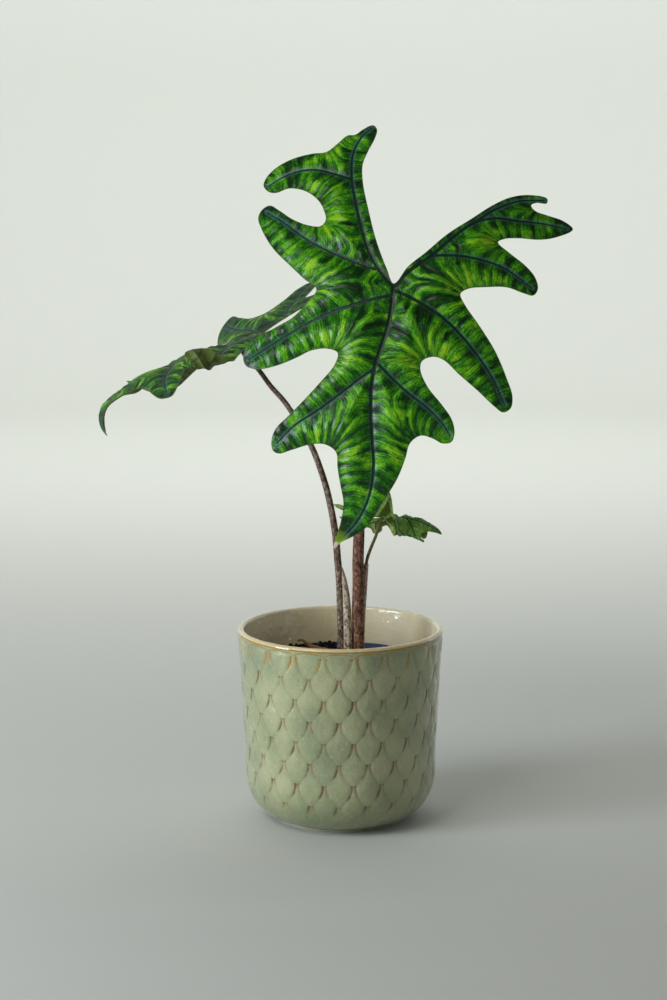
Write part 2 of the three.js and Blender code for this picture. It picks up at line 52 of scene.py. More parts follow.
# inputs go by name or in the node's own order; a value is a number, a hex colour, a socket or a node, which
# stands for its first output
def fillInputs(node, inputs):
    for name, value in inputs.items() if isinstance(inputs, dict) else enumerate(inputs):
        if isinstance(value, bpy.types.Node):
            value = next(out for out in value.outputs if out.enabled)
        if isinstance(value, bpy.types.NodeSocket):
            node.id_data.links.new(value, node.inputs[name])
        else:
            node.inputs[name].default_value = toLinear(value) if isinstance(value, str) else value


def addNode(tree, kind, inputs=(), stops=None, **settings):
    node = tree.nodes.new("ShaderNode" + kind)
    for name, value in settings.items():
        setattr(node, name, value)
    fillInputs(node, inputs)
    if stops:
        elements = node.color_ramp.elements
        while len(elements) < len(stops):
            elements.new(0.5)
        for element, (place, color) in zip(elements, stops):
            element.position = place
            element.color = toLinear(color)
    return node


# gives the material, its shader and addNode for its own tree
def startMaterial(name, fixed):
    material = bpy.data.materials.new(name)
    material.use_nodes = True
    shader = material.node_tree.nodes["Principled BSDF"]
    fillInputs(shader, fixed)
    return material, shader, partial(addNode, material.node_tree)


# ends a material: a share sets its roughness between two values, and its relief is so many mm deep
def finishMaterial(shader, add, color, share, rough, height, depth, strength):
    bump = add("Bump", {"Height": height, "Distance": depth * mm, "Strength": strength})
    rough = add("MapRange", (share, 0, 1, *rough))
    fillInputs(shader, {"Base Color": color, "Roughness": rough, "Normal": bump})
    return bump


def smoothStep(low, high, x):
    t = np.clip((x - low) / (high - low), 0, 1)
    return t * t * (3 - 2 * t)


def fadeAway(distance, width):
    return np.exp(-(distance / width) ** 2)


# points at even steps along a smooth line through the given ones
def curveThrough(points, step, closed=False):
    p = np.array(points, float)
    ends = (p[-1], p[:2]) if closed else (2 * p[0] - p[1], 2 * p[-1] - p[-2])
    p = np.vstack([ends[0], p, ends[1]])
    rows = []
    for i in range(1, len(p) - 2):
        p0, p1, p2, p3 = p[i - 1:i + 3]
        d0, d1, d2 = (max(np.linalg.norm(b - a) ** 0.5, 1e-4) for a, b in ((p0, p1), (p1, p2), (p2, p3)))
        m1 = ((p1 - p0) / d0 - (p2 - p0) / (d0 + d1) + (p2 - p1) / d1) * d1
        m2 = ((p2 - p1) / d1 - (p3 - p1) / (d1 + d2) + (p3 - p2) / d2) * d1
        t = np.linspace(0, 1, 24, endpoint=False)[:, None]
        rows.append((2 * t**3 - 3 * t**2 + 1) * p1 + (t**3 - 2 * t**2 + t) * m1
                    + (3 * t**2 - 2 * t**3) * p2 + (t**3 - t**2) * m2)
    fine = np.vstack(rows + [p[1] if closed else p[-2]])
    reach = np.concatenate([[0], np.cumsum(np.linalg.norm(np.diff(fine, axis=0), axis=1))])
    places = np.linspace(0, reach[-1], max(2, round(reach[-1] / step)) + 1)
    even = np.stack([np.interp(places, reach, fine[:, k]) for k in range(p.shape[1])], axis=1)
    return even[:-1] if closed else even


def addObject(name, data):
    made = bpy.data.objects.new(name, data)
    collection.objects.link(made)
    return made


def makeObject(bm, name, material, sharp=50):
    bmesh.ops.recalc_face_normals(bm, faces=bm.faces[:])
    for face in bm.faces:
        face.smooth = True
    mesh = bpy.data.meshes.new(name)
    bm.to_mesh(mesh)
    bm.free()
    mesh.set_sharp_from_angle(angle=math.radians(sharp))
    mesh.materials.append(material)
    return addObject(name, mesh)


def finishPiece(bm, name, material, node=None, sharp=50):
    piece = makeObject(bm, name, material, sharp)
    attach(piece, "root")
    if node:
        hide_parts(node)
    print(name, "has", len(piece.data.polygons), "faces")


# values at each point, which the materials read as attributes
def keepValues(bm, values):
    for name, row in values.items():
        row = np.asarray(row, float)
        layers = bm.verts.layers.float_vector if row.ndim == 2 else bm.verts.layers.float
        layer = layers.new(name)
        for vert, value in zip(bm.verts, row.tolist()):
            vert[layer] = value


def allPlaces(bm):
    return np.array([vert.co[:] for vert in bm.verts])


def ripple(flat, size, seed):
    return np.array([noise.noise(Vector((u / size, v / size, seed))) for u, v in flat.tolist()])


def insideLoop(points, loop):
    odd = np.zeros(len(points), bool)
    x, y = points.T
    for (ax, ay), (bx, by) in zip(loop, np.roll(loop, 1, axis=0)):
        if ay != by:
            odd ^= ((ay > y) != (by > y)) & (x < (bx - ax) * (y - ay) / (by - ay) + ax)
    return odd


# in shares of a square's side: how near a corner moves onto the outline, and how short an edge closes up
sheetEdge = {"catch": 0.4, "close": 0.05, "smoothings": 2}


# a flat sheet of small squares cut to an outline
def cutSheet(outline, step):
    low, high = outline.min(axis=0) - step, outline.max(axis=0) + step
    middle, half = (low + high) / 2, (high - low) / 2
    counts = np.ceil((high - low) / step).astype(int)
    bm = bmesh.new()
    place = Matrix.Translation((*middle, 0)) @ Matrix.Diagonal((*half, 1, 1))
    bmesh.ops.create_grid(bm, x_segments=int(counts[0]), y_segments=int(counts[1]), size=1, matrix=place)
    edge = kdtree.KDTree(len(outline))
    for i, spot in enumerate(outline):
        edge.insert((*spot, 0), i)
    edge.balance()
    for vert, isIn in zip(bm.verts, insideLoop(allPlaces(bm)[:, :2], outline).tolist()):
        vert.tag = isIn
        if isIn:
            spot, _, away = edge.find(vert.co)
            if away < sheetEdge["catch"] * step:
                vert.co = spot
                vert.tag = False
    spare = [face for face in bm.faces if not any(vert.tag for vert in face.verts)]
    bmesh.ops.delete(bm, geom=spare, context="FACES")
    for vert in bm.verts:
        if not vert.tag:
            vert.co = edge.find(vert.co)[0]
    bmesh.ops.dissolve_degenerate(bm, dist=sheetEdge["close"] * step, edges=bm.edges[:])
    rim = {vert for e in bm.edges if e.is_boundary for vert in e.verts}
    near = [vert for vert in bm.verts
            if vert not in rim and any(e.other_vert(vert) in rim for e in vert.link_edges)]
    for _ in range(sheetEdge["smoothings"]):
        bmesh.ops.smooth_vert(bm, verts=near, factor=0.5, use_axis_x=True, use_axis_y=True)
    return bm, edge


# a second sheet above the first, joined to it round the rim; tells which points belong to it
def thicken(bm):
    grown = bmesh.ops.extrude_face_region(bm, geom=bm.faces[:], use_keep_orig=True)
    upper = {vert for vert in grown["geom"] if isinstance(vert, bmesh.types.BMVert)}
    return np.array([vert in upper for vert in bm.verts])


# from millimetres to metres
def shrink(bm):
    bmesh.ops.scale(bm, vec=(mm, mm, mm), verts=bm.verts[:])


def moveTo(bm, places):
    for vert, place in zip(bm.verts, (places * mm).tolist()):
        vert.co = place


# a profile of radius and height, turned once round
def turnProfile(rows, steps):
    bm = bmesh.new()
    line = [bm.verts.new((0, -r, z)) for r, z in rows]
    wire = [bm.edges.new(pair) for pair in zip(line, line[1:])]
    bmesh.ops.spin(bm, geom=line + wire, cent=(0, 0, 0), axis=(0, 0, 1), angle=2 * math.pi,
                   steps=steps, use_merge=True)
    bmesh.ops.remove_doubles(bm, verts=bm.verts[:], dist=1e-4)
    return bm


print("helpers ready")

blade = {
    "thick": 1.0, "margin": 0.5,        # thickness inside and at the margin
    "groove": 0.5, "grooveWidth": 1.4,  # over the main veins
    "rib": 1.5, "ribWidth": 2.0,        # under the main veins
    "quilt": 0.7, "quiltWidth": 2.2,    # how far the blade swells between side veins
    "sideGroove": 0.25, "sideGrooveWidth": 0.7, "sideRib": 0.4, "sideRibWidth": 0.8,
    "edgeWidth": 7, "ribEnd": 5,        # over which the margin thickens and the ribs run out
    "clearOfVein": 5, "clearOfMargin": 4, "fullSpread": 10,
    "drifts": [(4, 30, 0), (1.2, 9, 5)],  # how far side veins stray, over what distance, added to the seed
    "crowding": (0.5, 4),  # bounds for how many times closer than usual side veins stand
}

# size is the scale of the finest growth, period the distance between side veins; rise and spread say how
# far the blade swells between main veins
mainOutline = [
    (0, 2),
    (-5, 12), (-13, 33), (-19, 55), (-24, 77), (-25, 92), (-22, 103), (-18, 114), (-17, 122), (-20, 126),
    (-26, 123), (-32, 118), (-37, 118), (-44, 111), (-51, 105), (-61, 105), (-75, 103), (-86, 98),
    (-93, 91), (-95, 84), (-91, 78), (-85, 76), (-76, 78), (-64, 74), (-54, 65), (-49, 55), (-48, 49),
    (-51, 45), (-59, 46), (-71, 52), (-82, 61), (-89, 66), (-94, 64), (-97, 58), (-93, 46), (-84, 31),
    (-72, 18), (-61, 7), (-52, -1),
    (-58, -10), (-68, -20), (-81, -27), (-91, -31), (-100, -38), (-103, -45), (-101, -52), (-93, -55),
    (-79, -53), (-65, -48), (-54, -43), (-43, -42), (-36, -45),
    (-38, -53), (-47, -64), (-58, -76), (-69, -87), (-78, -96), (-81, -104), (-80, -111), (-76, -113),
    (-66, -110), (-53, -106), (-43, -106),
    (-36, -111), (-35, -121), (-33, -133), (-31, -145), (-33, -158), (-36, -168), (-38, -177), (-33, -172),
    (-24, -167), (-15, -160), (-5, -144), (5, -127), (10, -114),
    (13, -104), (20, -99), (28, -101), (34, -104), (40, -103), (42, -97), (40, -88), (33, -78), (24, -67),
    (19, -56), (20, -50),
    (27, -47), (34, -49), (44, -58), (57, -69), (68, -79), (74, -83), (79, -80), (80, -72), (76, -60),
    (68, -42), (57, -25), (47, -11), (44, -4),
    (49, 0), (61, 2), (75, 3), (86, 0), (93, -1), (96, 4), (94, 12), (87, 20), (76, 28), (68, 35),
    (72, 38), (82, 40), (96, 41), (108, 45), (120, 54), (113, 59), (102, 61), (93, 63), (90, 67), (94, 70),
    (101, 71), (101, 75), (88, 75), (76, 71), (64, 63), (50, 51), (34, 38), (20, 24), (9, 14),
]
mainVeins = [
    [(0, 0), (-2, -22), (-7, -41), (-11, -54), (-13, -69), (-13, -84), (-12, -103), (-11, -120),
     (-14, -140), (-22, -157), (-35, -172)],
    [(0, 0), (-8, 9), (-17, 24), (-24, 45), (-29, 65), (-32, 82), (-32, 102), (-27, 116), (-20, 124)],
    [(-13, 12), (-30, 19), (-48, 28), (-62, 37), (-77, 50), (-91, 61)],
    [(-32, 80), (-45, 86), (-59, 91), (-72, 91), (-84, 87), (-91, 83)],
    [(-1, -6), (-18, -10), (-37, -16), (-54, -23), (-71, -32), (-85, -40), (-99, -48)],
    [(-12, -56), (-23, -64), (-36, -74), (-50, -84), (-64, -93), (-77, -106)],
    [(1, 0), (9, 10), (24, 22), (39, 37), (52, 48), (66, 53), (82, 53), (100, 54), (116, 53)],
    [(24, 22), (41, 23), (58, 21), (74, 16), (92, 4)],
    [(52, 48), (66, 60), (82, 69), (99, 73)],
    [(2, -3), (16, -10), (32, -20), (45, -32), (56, -45), (67, -61), (75, -78)],
    [(-8, -53), (2, -63), (11, -71), (23, -80), (34, -91), (39, -99)],
]
mainLeaf = {
    "outline": mainOutline, "veins": mainVeins,
    "rise": 5, "spread": 11, "step": 1.1, "size": 1, "period": 8.5, "seed": 3, "tip": (-38, -177),
    "stain": (0, -400, 1),  # where a patch has dried, and how wide: here nowhere on the blade
    "pose": {
        "at": (35, -8, 363), "tip": (-0.039, -0.373, -0.927), "face": (-0.097, -0.922, 0.375),
        # the bend across: in front, behind, and where they blend; along: in front and behind
        "across": (1 / 300, 1 / 300, 0, 1), "along": (1 / 340, 1 / 340),
        # a twist has a start, an end and an angle; a fold its start, toward, radius, angle and width
        "twist": (0, 1, 0), "folds": [],
    },
}

# half of an even leaf, from its tip round one side to the notch, and its veins on that side; its right side
# can be cut short beyond a width, and the left one's hind lobes drawn out
even = {"length": 132, "frontBelow": -8, "stubBeyond": 52, "stubAbove": -70, "hindAbove": 35}
halfOutline = [
    (7, -118), (12, -105), (17, -95), (24, -86), (36, -83), (50, -83), (60, -81), (64, -74), (59, -66),
    (47, -59), (38, -53), (38, -47), (47, -46), (62, -53), (78, -62), (88, -63), (92, -56), (84, -43),
    (68, -28), (49, -15), (38, -3), (45, 7), (64, 10), (79, 16), (88, 24), (85, 32), (69, 32), (52, 33),
    (45, 40), (50, 58), (60, 74), (62, 84), (54, 87), (42, 77), (31, 67), (27, 73), (27, 88), (20, 94),
    (14, 84), (10, 62), (6, 34),
]
halfVeins = [
    [(0, 0), (9, 14), (15, 34), (19, 60), (21, 88)],
    [(10, 16), (28, 20), (52, 21), (82, 26)],
    [(17, 44), (30, 54), (44, 68), (57, 82)],
    [(0, -6), (22, -17), (48, -37), (87, -59)],
    [(0, -50), (16, -58), (35, -68), (60, -76)],
]


def evenLeaf(length, sweep, stub, hind, **settings):
    scale, front = length / even["length"], even["frontBelow"]

    def grown(point, sign):
        u, v = point
        lean = sweep["right" if sign > 0 else "left"][0 if v < front else 1]
        isShort = sign > 0 and even["stubAbove"] < v < front
        short = max(0, u - even["stubBeyond"]) * (1 - stub) if isShort else 0
        level = v + short / 2 + (max(0, v - even["hindAbove"]) * (hind - 1) if sign < 0 else 0)
        return ((u - short) * scale * sign, (level - lean * u) * scale)

    right = [grown(p, 1) for p in halfOutline]
    left = [grown(p, -1) for p in halfOutline][::-1]
    midrib = [(0, v * scale) for v in (0, -40, -85, -128)]
    veins = [midrib] + [[grown(p, sign) for p in vein] for sign in (1, -1) for vein in halfVeins]
    tip = (0, -length)
    return {"outline": [tip, *right, (0, 4 * scale), *left], "veins": veins, "tip": tip, **settings}


leftLeaf = evenLeaf(
    even["length"], {"right": (0.08, -0.12), "left": (0.14, 0.13)}, 0.35, 1,
    rise=3.5, spread=10, step=1, size=0.9, period=8, seed=11, stain=(0, -400, 1),
    pose={
        "at": (-68, 72, 319), "tip": (-0.93, -0.33, -0.17), "face": (-0.17, 0.11, 0.95),
        "across": (1 / 130, -1 / 500, 0, 30), "along": (1 / 270, 1 / 600), "twist": (0, 1, 0),
        "folds": [
            ((51, -30), (0.95, -0.3), 6.6, 3.1, 60), ((-56, -49), (-0.81, -0.6), 20, 1, 34),
            ((-36, -73), (-0.88, -0.5), 20, 0.5, 34), ((46, 24), (0.98, 0.2), 6, -3.1, 44),
            ((42, 63), (0.6, 0.8), 12, -1.1, 40), ((0, -103), (0, -1), 18, -1.6, 1e6),
            ((0, 2), (-0.4, 0.92), 25, 0.4, 1e6),
        ],
    },
)
smallLeaf = evenLeaf(
    44, {"right": (0.3, 0.2), "left": (0.35, 0.5)}, 0.1, 1.35,
    rise=1.5, spread=5, step=0.45, size=0.45, period=3.6, seed=23, stain=(17.5, -11, 5.5),
    pose={
        "at": (29.1, 32, 202), "tip": (0.95, 0.1, 0.08), "face": (0, 0.65, 0.76),
        "across": (1 / 7, -1 / 100, -7, 4), "along": (1 / 50, -1 / 60), "twist": (8, 16, 1.2), "folds": [],
    },
)


def poseBlade(pose, flat, height):
    u, v = flat.T.copy()
    h = height.copy()
    for (fu, fv), toward, radius, angle, width in pose["folds"]:
        du, dv = np.array(toward) / math.hypot(*toward)
        past = (u - fu) * du + (v - fv) * dv
        aside = (u - fu) * dv - (v - fv) * du
        moves = (past > 0) & (np.abs(aside) <= width / 2)
        sign = math.copysign(1, angle)
        turn = np.minimum(past / radius, abs(angle))
        onward = past - turn * radius
        reach = radius * np.sin(turn) + onward * np.cos(turn) - sign * h * np.sin(turn)
        raised = sign * (radius * (1 - np.cos(turn)) + onward * np.sin(turn)) + h * np.cos(turn)
        u = np.where(moves, u + (reach - past) * du, u)
        v = np.where(moves, v + (reach - past) * dv, v)
        h = np.where(moves, raised, h)
    back = -np.array(pose["tip"])
    back /= np.linalg.norm(back)
    up = np.array(pose["face"]) - back * np.dot(pose["face"], back)
    up /= np.linalg.norm(up)
    side = np.cross(back, up)
    front, rear, middle, blend = pose["across"]
    bend = front + (rear - front) * smoothStep(middle - blend, middle + blend, v)
    bend = np.where(np.abs(bend) < 1e-6, 1e-6, bend)
    out = np.sin(u * bend) / bend + h * np.sin(u * bend)
    above = (np.cos(u * bend) - 1) / bend + h * np.cos(u * bend)
    begin, end, angle = pose["twist"]
    turn = angle * smoothStep(begin, end, -v)
    sideways = out * np.cos(turn) - above * np.sin(turn)
    rise = out * np.sin(turn) + above * np.cos(turn)
    curve = np.where(v < 0, *pose["along"])
    return (np.array(pose["at"]) + side * sideways[:, None]
            + back * (np.sin(v * curve) / curve + rise * np.sin(v * curve))[:, None]
            + up * ((np.cos(v * curve) - 1) / curve + rise * np.cos(v * curve))[:, None])


# for each spot its nearest main vein: how far it is, how long the way back to the stem, and on to its end
def nearVeins(spots, lines, starts):
    best = np.full((3, len(spots)), np.inf)
    rows = np.arange(len(spots))
    for line, start in zip(lines, starts):
        a, d = line[:-1], np.diff(line, axis=0)
        t = np.clip(((spots[:, None] - a) * d).sum(-1) / (d * d).sum(-1), 0, 1)
        away = np.linalg.norm(spots[:, None] - a - t[..., None] * d, axis=-1)
        which = away.argmin(axis=1)
        pace = np.linalg.norm(d[0])
        along = (which + t[rows, which]) * pace
        found = np.stack([away[rows, which], start + along, len(d) * pace - along])
        best = np.where(found[0] < best[0], found, best)
    return best


flowLines = {"rounds": 1200, "strides": 70, "stride": 0.7, "stop": 0.05, "border": 3}


# side veins run from a main vein to the margin as heat would flow through a plate: this gives each spot's
# foot, where its side vein leaves the main one
def footOf(flat, outline, lines, step):
    border = flowLines["border"]
    low = outline.min(axis=0) - border * step
    counts = np.ceil((outline.max(axis=0) - low) / step).astype(int) + border
    axes = [low[k] + step * np.arange(counts[k]) for k in (0, 1)]
    cells = np.stack(np.meshgrid(*axes, indexing="ij"), axis=-1)
    isIn = insideLoop(cells.reshape(-1, 2), outline[::3]).reshape(counts)
    level = np.where(isIn, 0.5, 1.0)
    for line in lines:
        level[tuple(np.rint((line - low) / step).astype(int).T)] = 0
    free = isIn & (level > 0)
    for _ in range(flowLines["rounds"]):
        around = sum(np.roll(level, shift, axis) for shift in (1, -1) for axis in (0, 1)) / 4
        level = np.where(free, around, level)
    slopes = np.stack([*np.gradient(level), level], axis=-1)
    spots = flat.copy()
    for _ in range(flowLines["strides"]):
        cell = (spots - low) / step
        corner = np.floor(cell).astype(int)
        part = cell - corner
        found = np.zeros((len(spots), 3))
        for du, dv in ((0, 0), (1, 0), (0, 1), (1, 1)):
            weight = np.abs(1 - du - part[:, 0]) * np.abs(1 - dv - part[:, 1])
            found += weight[:, None] * slopes[corner[:, 0] + du, corner[:, 1] + dv]
        downhill = found[:, :2] / (np.linalg.norm(found[:, :2], axis=1)[:, None] + 1e-9)
        onward = found[:, 2:] > flowLines["stop"]
        spots -= flowLines["stride"] * step * downhill * onward
    return spots


def makeBlade(name, node, leaf, material):
    step, size, period, seed = leaf["step"], leaf["size"], leaf["period"], leaf["seed"]
    outline = curveThrough(leaf["outline"], 0.5 * size, closed=True)
    bm, edge = cutSheet(outline, step)
    flat = allPlaces(bm)[:, :2]
    margin = np.array([edge.find(vert.co)[2] for vert in bm.verts])
    lines, starts = [], []
    for vein in leaf["veins"]:
        line = curveThrough(vein, step)
        starts.append(nearVeins(line[:1], lines, starts)[:2].sum() if lines else 0)
        lines.append(line)
    off, _, ending = nearVeins(flat, lines, starts)
    foot = nearVeins(footOf(flat, outline, lines, 1.1 * step), lines, starts)[1]
    pairs = np.array([[vert.index for vert in e.verts] for e in bm.edges])
    count = np.bincount(pairs.ravel(), minlength=len(flat))
    for _ in range(2):
        total = sum(np.bincount(pairs[:, k], foot[pairs[:, 1 - k]], len(flat)) for k in (0, 1))
        foot = (foot + total / count) / 2
    flow = foot + size * sum(
        far * ripple(flat, wide * size, seed + more) for far, wide, more in blade["drifts"])
    length = np.linalg.norm(flat[pairs[:, 0]] - flat[pairs[:, 1]], axis=1)
    steep = (np.abs(flow[pairs[:, 0]] - flow[pairs[:, 1]]) / length) ** 2
    crowd = np.sqrt(sum(np.bincount(pairs[:, k], steep, len(flat)) for k in (0, 1)) * 2 / count)
    # distance from the nearest side vein, which stands closer to the next where they run into a notch
    side = (0.5 - np.abs((flow / period) % 1 - 0.5)) * period / np.clip(crowd, *blade["crowding"])
    *stained, stainWidth = leaf["stain"]
    keepValues(bm, {"vein": off, "flow": flow, "side": side, "margin": margin, "ending": ending,
                    "gather": crowd, "tip": np.linalg.norm(flat - leaf["tip"], axis=1),
                    "stain": np.linalg.norm(flat - stained, axis=1) / stainWidth})
    upper = thicken(bm)
    layers = [bm.verts.layers.float[key] for key in ("vein", "side", "margin")]
    off, side, margin = np.array([[vert[layer] for layer in layers] for vert in bm.verts]).T
    flat = allPlaces(bm)[:, :2]
    relief = min(1, leaf["spread"] / blade["fullSpread"])
    free = smoothStep(0, blade["clearOfVein"] * relief, off)
    free *= smoothStep(0, blade["clearOfMargin"] * relief, margin)
    pillow = (1 - fadeAway(off, leaf["spread"])) * (1 - fadeAway(margin, leaf["spread"]))
    quilt = blade["quilt"] * relief * (1 - fadeAway(side, blade["quiltWidth"] * size))
    groove = blade["sideGroove"] * relief * fadeAway(side, blade["sideGrooveWidth"] * size)
    top = (leaf["rise"] * pillow - blade["groove"] * fadeAway(off, blade["grooveWidth"])
           + free * (quilt - groove))
    thick = blade["margin"] + (blade["thick"] - blade["margin"]) * smoothStep(0, blade["edgeWidth"], margin)
    rib = blade["rib"] * fadeAway(off, blade["ribWidth"]) * smoothStep(0, blade["ribEnd"], margin)
    rib += free * blade["sideRib"] * relief * fadeAway(side, blade["sideRibWidth"] * size)
    keepValues(bm, {"under": ~upper})
    moveTo(bm, poseBlade(leaf["pose"], flat, np.where(upper, top, top - thick - rib)))
    finishPiece(bm, name, material, node)


def bladeMaterial(name, look):
    material, shader, add = startMaterial(name, {
        "IOR": 1.42, "Specular IOR Level": look["gloss"], "Coat Weight": look["wax"],
        "Coat Roughness": look["waxRough"], "Coat Tint": "#e6f0ff"})
    vein, flow, side, margin, ending, gather, tip, under, stain = (
        add("Attribute", attribute_name=key).outputs["Fac"]
        for key in ("vein", "flow", "side", "margin", "ending", "gather", "tip", "under", "stain"))
    size = look["size"]
    place = add("TexCoord").outputs["Object"]
    wobble = add("TexNoise", {"Vector": place, "Scale": 130 / size, "Detail": 2})

    # a pattern laid along the side veins: one mark is so many mm of main vein wide and so many mm long
    def laidAlong(width, length, sway):
        across = add("Math", (flow, width * size), operation="DIVIDE")
        along = add("Math", (vein, length * size), operation="DIVIDE")
        drift = add("VectorMath", {0: wobble.outputs["Color"], "Scale": sway}, operation="SCALE")
        return add("VectorMath", (add("CombineXYZ", (across, along)), drift), operation="ADD")

    patch, streak, shown = (
        add("TexNoise", {"Vector": laidAlong(*marks), "Scale": 1, "Detail": 1})
        for marks in ((7, 15, 1.3), (2.4, 9, 0.9), (5, 7, 1)))
    # finer veins run between the side veins every 2 mm, and come and go; the tip has hardly any
    fine = add("Math", (wobble, 2.5 * size, flow), operation="MULTIPLY_ADD")
    fine = add("Math", (fine, size), operation="PINGPONG")
    fine = add("MapRange", (fine, 0.05 * size, 0.7 * size, 1, 0))
    shown = add("MapRange", (shown, 0.42, 0.6))
    fromTip = add("MapRange", (tip, 15 * size, 70 * size, 0.15))
    for part in (shown, fromTip):
        fine = add("Math", (fine, part), operation="MULTIPLY")
    # the net of the finest veins, drawn at 1.6 mm where the real one is nearer 1 mm
    cells = add("TexVoronoi", {"Vector": laidAlong(1.6, 2.6, 0.8), "Scale": 1}, feature="DISTANCE_TO_EDGE")
    net = add("MapRange", (cells, 0.02, 0.2))
    # the tissue is dark beside the side veins and at the lobes' ends, palest far from the main veins and
    # where the side veins crowd together into a notch
    band = add("MapRange", (side, 0.3 * size, 2.6 * size), interpolation_type="SMOOTHSTEP")
    pale = add("MapRange", (vein, size, 15 * size, -0.04, look["glow"]))
    lobe = add("MapRange", (ending, 0, 48 * size, -look["lobeDark"], 0.03))
    rimDark = add("MapRange", (margin, 0, 5 * size, -0.12, 0))
    crowded = add("MapRange", (gather, 1, 2.4))
    tone = look["shift"]
    for part, weight in ((pale, 1), (lobe, 1), (rimDark, 1), (patch, look["patch"]),
                         (streak, look["streak"]), (band, look["band"]), (net, look["net"]),
                         (fine, -look["fine"]), (crowded, look["gather"])):
        tone = add("Math", (part, weight, tone), operation="MULTIPLY_ADD")
    color = add("ValToRGB", (tone,), stops=look["stops"])
    sideLine = add("MapRange", (side, 0.15 * size, 0.6 * size, look["sideLine"], 0))
    # a painted blue-green sheen beside the main veins, standing in for their silvery reflection, grows
    # stronger towards the lobes' ends
    beside = add("MapRange", (vein, 0.5 * size, 2.6 * size, 1, 0))
    outward = add("MapRange", (ending, 20 * size, 120 * size, look["paintedSheen"], 0.08))
    paintedSheen = add("Math", (beside, outward), operation="MULTIPLY")
    # the main veins, impressed and nearly black, taper to the lobes' ends; the blade has a thin rim
    inVein = add("Math", (ending, -0.006, vein), operation="MULTIPLY_ADD")
    veinLine = add("MapRange", (inVein, 0.35 * size, 0.85 * size, 0.97, 0), interpolation_type="SMOOTHSTEP")
    rimLine = add("MapRange", (margin, 0.2 * size, 0.9 * size, 0.8, 0))
    # the blade's tip turns yellow and then papery
    dried = [(add("MapRange", (tip, near, far, 1, 0)), dryColor)
             for far, near, dryColor in (look["yellow"], look["dry"])]
    # underneath it is matt, with the veins standing out dark
    below = add("Mix", {0: streak, 6: look["underDark"], 7: look["underPale"]}, data_type="RGBA")
    belowLine = add("MapRange", (side, 0.2 * size, 1.2 * size, 0.7, 0))
    belowLine = add("Math", (belowLine, veinLine), operation="MAXIMUM")
    below = add("Mix", {0: belowLine, 6: below, 7: look["underVein"]}, data_type="RGBA")
    stained = add("MapRange", (stain, 0.4, 1, 0.85, 0))
    # each colour lies over the ones before it
    for amount, over in ((sideLine, look["veinColor"]), (paintedSheen, "#5c8a84"), (veinLine, look["veinColor"]),
                         (rimLine, look["rimColor"]), *dried, (under, below), (stained, "#9a7436")):
        color = add("Mix", {0: amount, 6: color, 7: over}, data_type="RGBA")
    # the finest veins sink by about a fifth of a millimetre, and are less glossy than the rest
    relief = add("Math", (net, streak), operation="ADD")
    rough = look["rough"] + 0.14, look["rough"]
    finishMaterial(shader, add, color, net, rough, relief, 0.22 * size, look["bump"])
    return material


# living blade, waxed above: lime tissue between blue-black veins, so it shines in broken silvery patches
freshBlade = bladeMaterial("fresh alocasia blade", {
    "size": 1.0, "gloss": 0.12, "wax": 0.39, "waxRough": 0.24, "glow": 0.1, "lobeDark": 0,
    "patch": 1.35, "streak": 0.4, "band": 0.12, "net": 0.1, "fine": 0.2, "gather": 0.15, "shift": -0.49,
    "paintedSheen": 0.5, "sideLine": 0.7, "rough": 0.42, "bump": 1,
    "yellow": (16, 6.4, "#86a41c"), "dry": (6.4, 4.8, "#ddceaa"),  # from and to so far from the tip
    "stops": [(0.2, "#092a06"), (0.36, "#144808"), (0.5, "#256c09"), (0.64, "#418f0b"), (0.8, "#6cb20e"),
              (0.94, "#98ca24")],
    "veinColor": "#0a2418", "rimColor": "#4a5a2c",
    "underDark": "#5d7a41", "underPale": "#86a05a", "underVein": "#3a4a34",
})
# older blade: the same pattern, duller and deeper
oldLook = {
    "size": 0.9, "gloss": 0.22, "wax": 0.08, "waxRough": 0.35, "glow": 0.06, "lobeDark": 0.04,
    "patch": 1.5, "streak": 0.4, "band": 0.12, "net": 0.08, "fine": 0.08, "gather": 0.1, "shift": -0.66,
    "paintedSheen": 0.3, "sideLine": 0.5, "rough": 0.46, "bump": 0.8,
    "yellow": (1, 0.5, "#8f9a35"), "dry": (1, 0.5, "#a08a5c"),
    "stops": [(0.2, "#15361d"), (0.38, "#265424"), (0.54, "#3a7426"), (0.7, "#5f9a28"), (0.86, "#93bf3a")],
    "veinColor": "#10261d", "rimColor": "#70803f",
    "underDark": "#3c4c22", "underPale": "#6c7a34", "underVein": "#28331a",
}
oldBlade = bladeMaterial("old alocasia blade", oldLook)
# the smallest blade, thin and soft, with a light underside
youngBlade = bladeMaterial("young alocasia blade", {
    **oldLook, "size": 0.45, "glow": 0.08, "patch": 0.8, "band": 0.1, "net": 0.06, "fine": 0.05,
    "gather": 0.05, "shift": 0.04, "paintedSheen": 0.2, "sideLine": 0.4, "rough": 0.44, "bump": 0.7,
    "stops": [(0.2, "#305c36"), (0.4, "#48803e"), (0.56, "#5f9c46"), (0.72, "#7eb252"), (0.9, "#a6c864")],
    "veinColor": "#143020", "rimColor": "#7a8a48",
    "underDark": "#74943c", "underPale": "#9cb85c", "underVein": "#46602e",
})

makeBlade("main_blade", "main_leaf", mainLeaf, freshBlade)
makeBlade("left_blade", "left_leaf", leftLeaf, oldBlade)
makeBlade("small_blade", "small_leaf", smallLeaf, youngBlade)


# slight ridges and swellings, as on a soft leaf stalk
stalk = {
    "gap": 0.3,  # between its top and the blade
    "ridges": 7, "ridge": 0.04, "ridgeTwist": 3, "swell": 0.03, "swellSize": 5.3,
}


# the last two points of a stem, under its blade
def stemTop(leaf, reach):
    under = -(blade["thick"] + blade["rib"] + blade["groove"] + stalk["gap"])
    flat = np.array([(0.0, -1.0), (0.0, -1.0)])
    return poseBlade(leaf["pose"], flat, np.array([under - reach, under])).tolist()


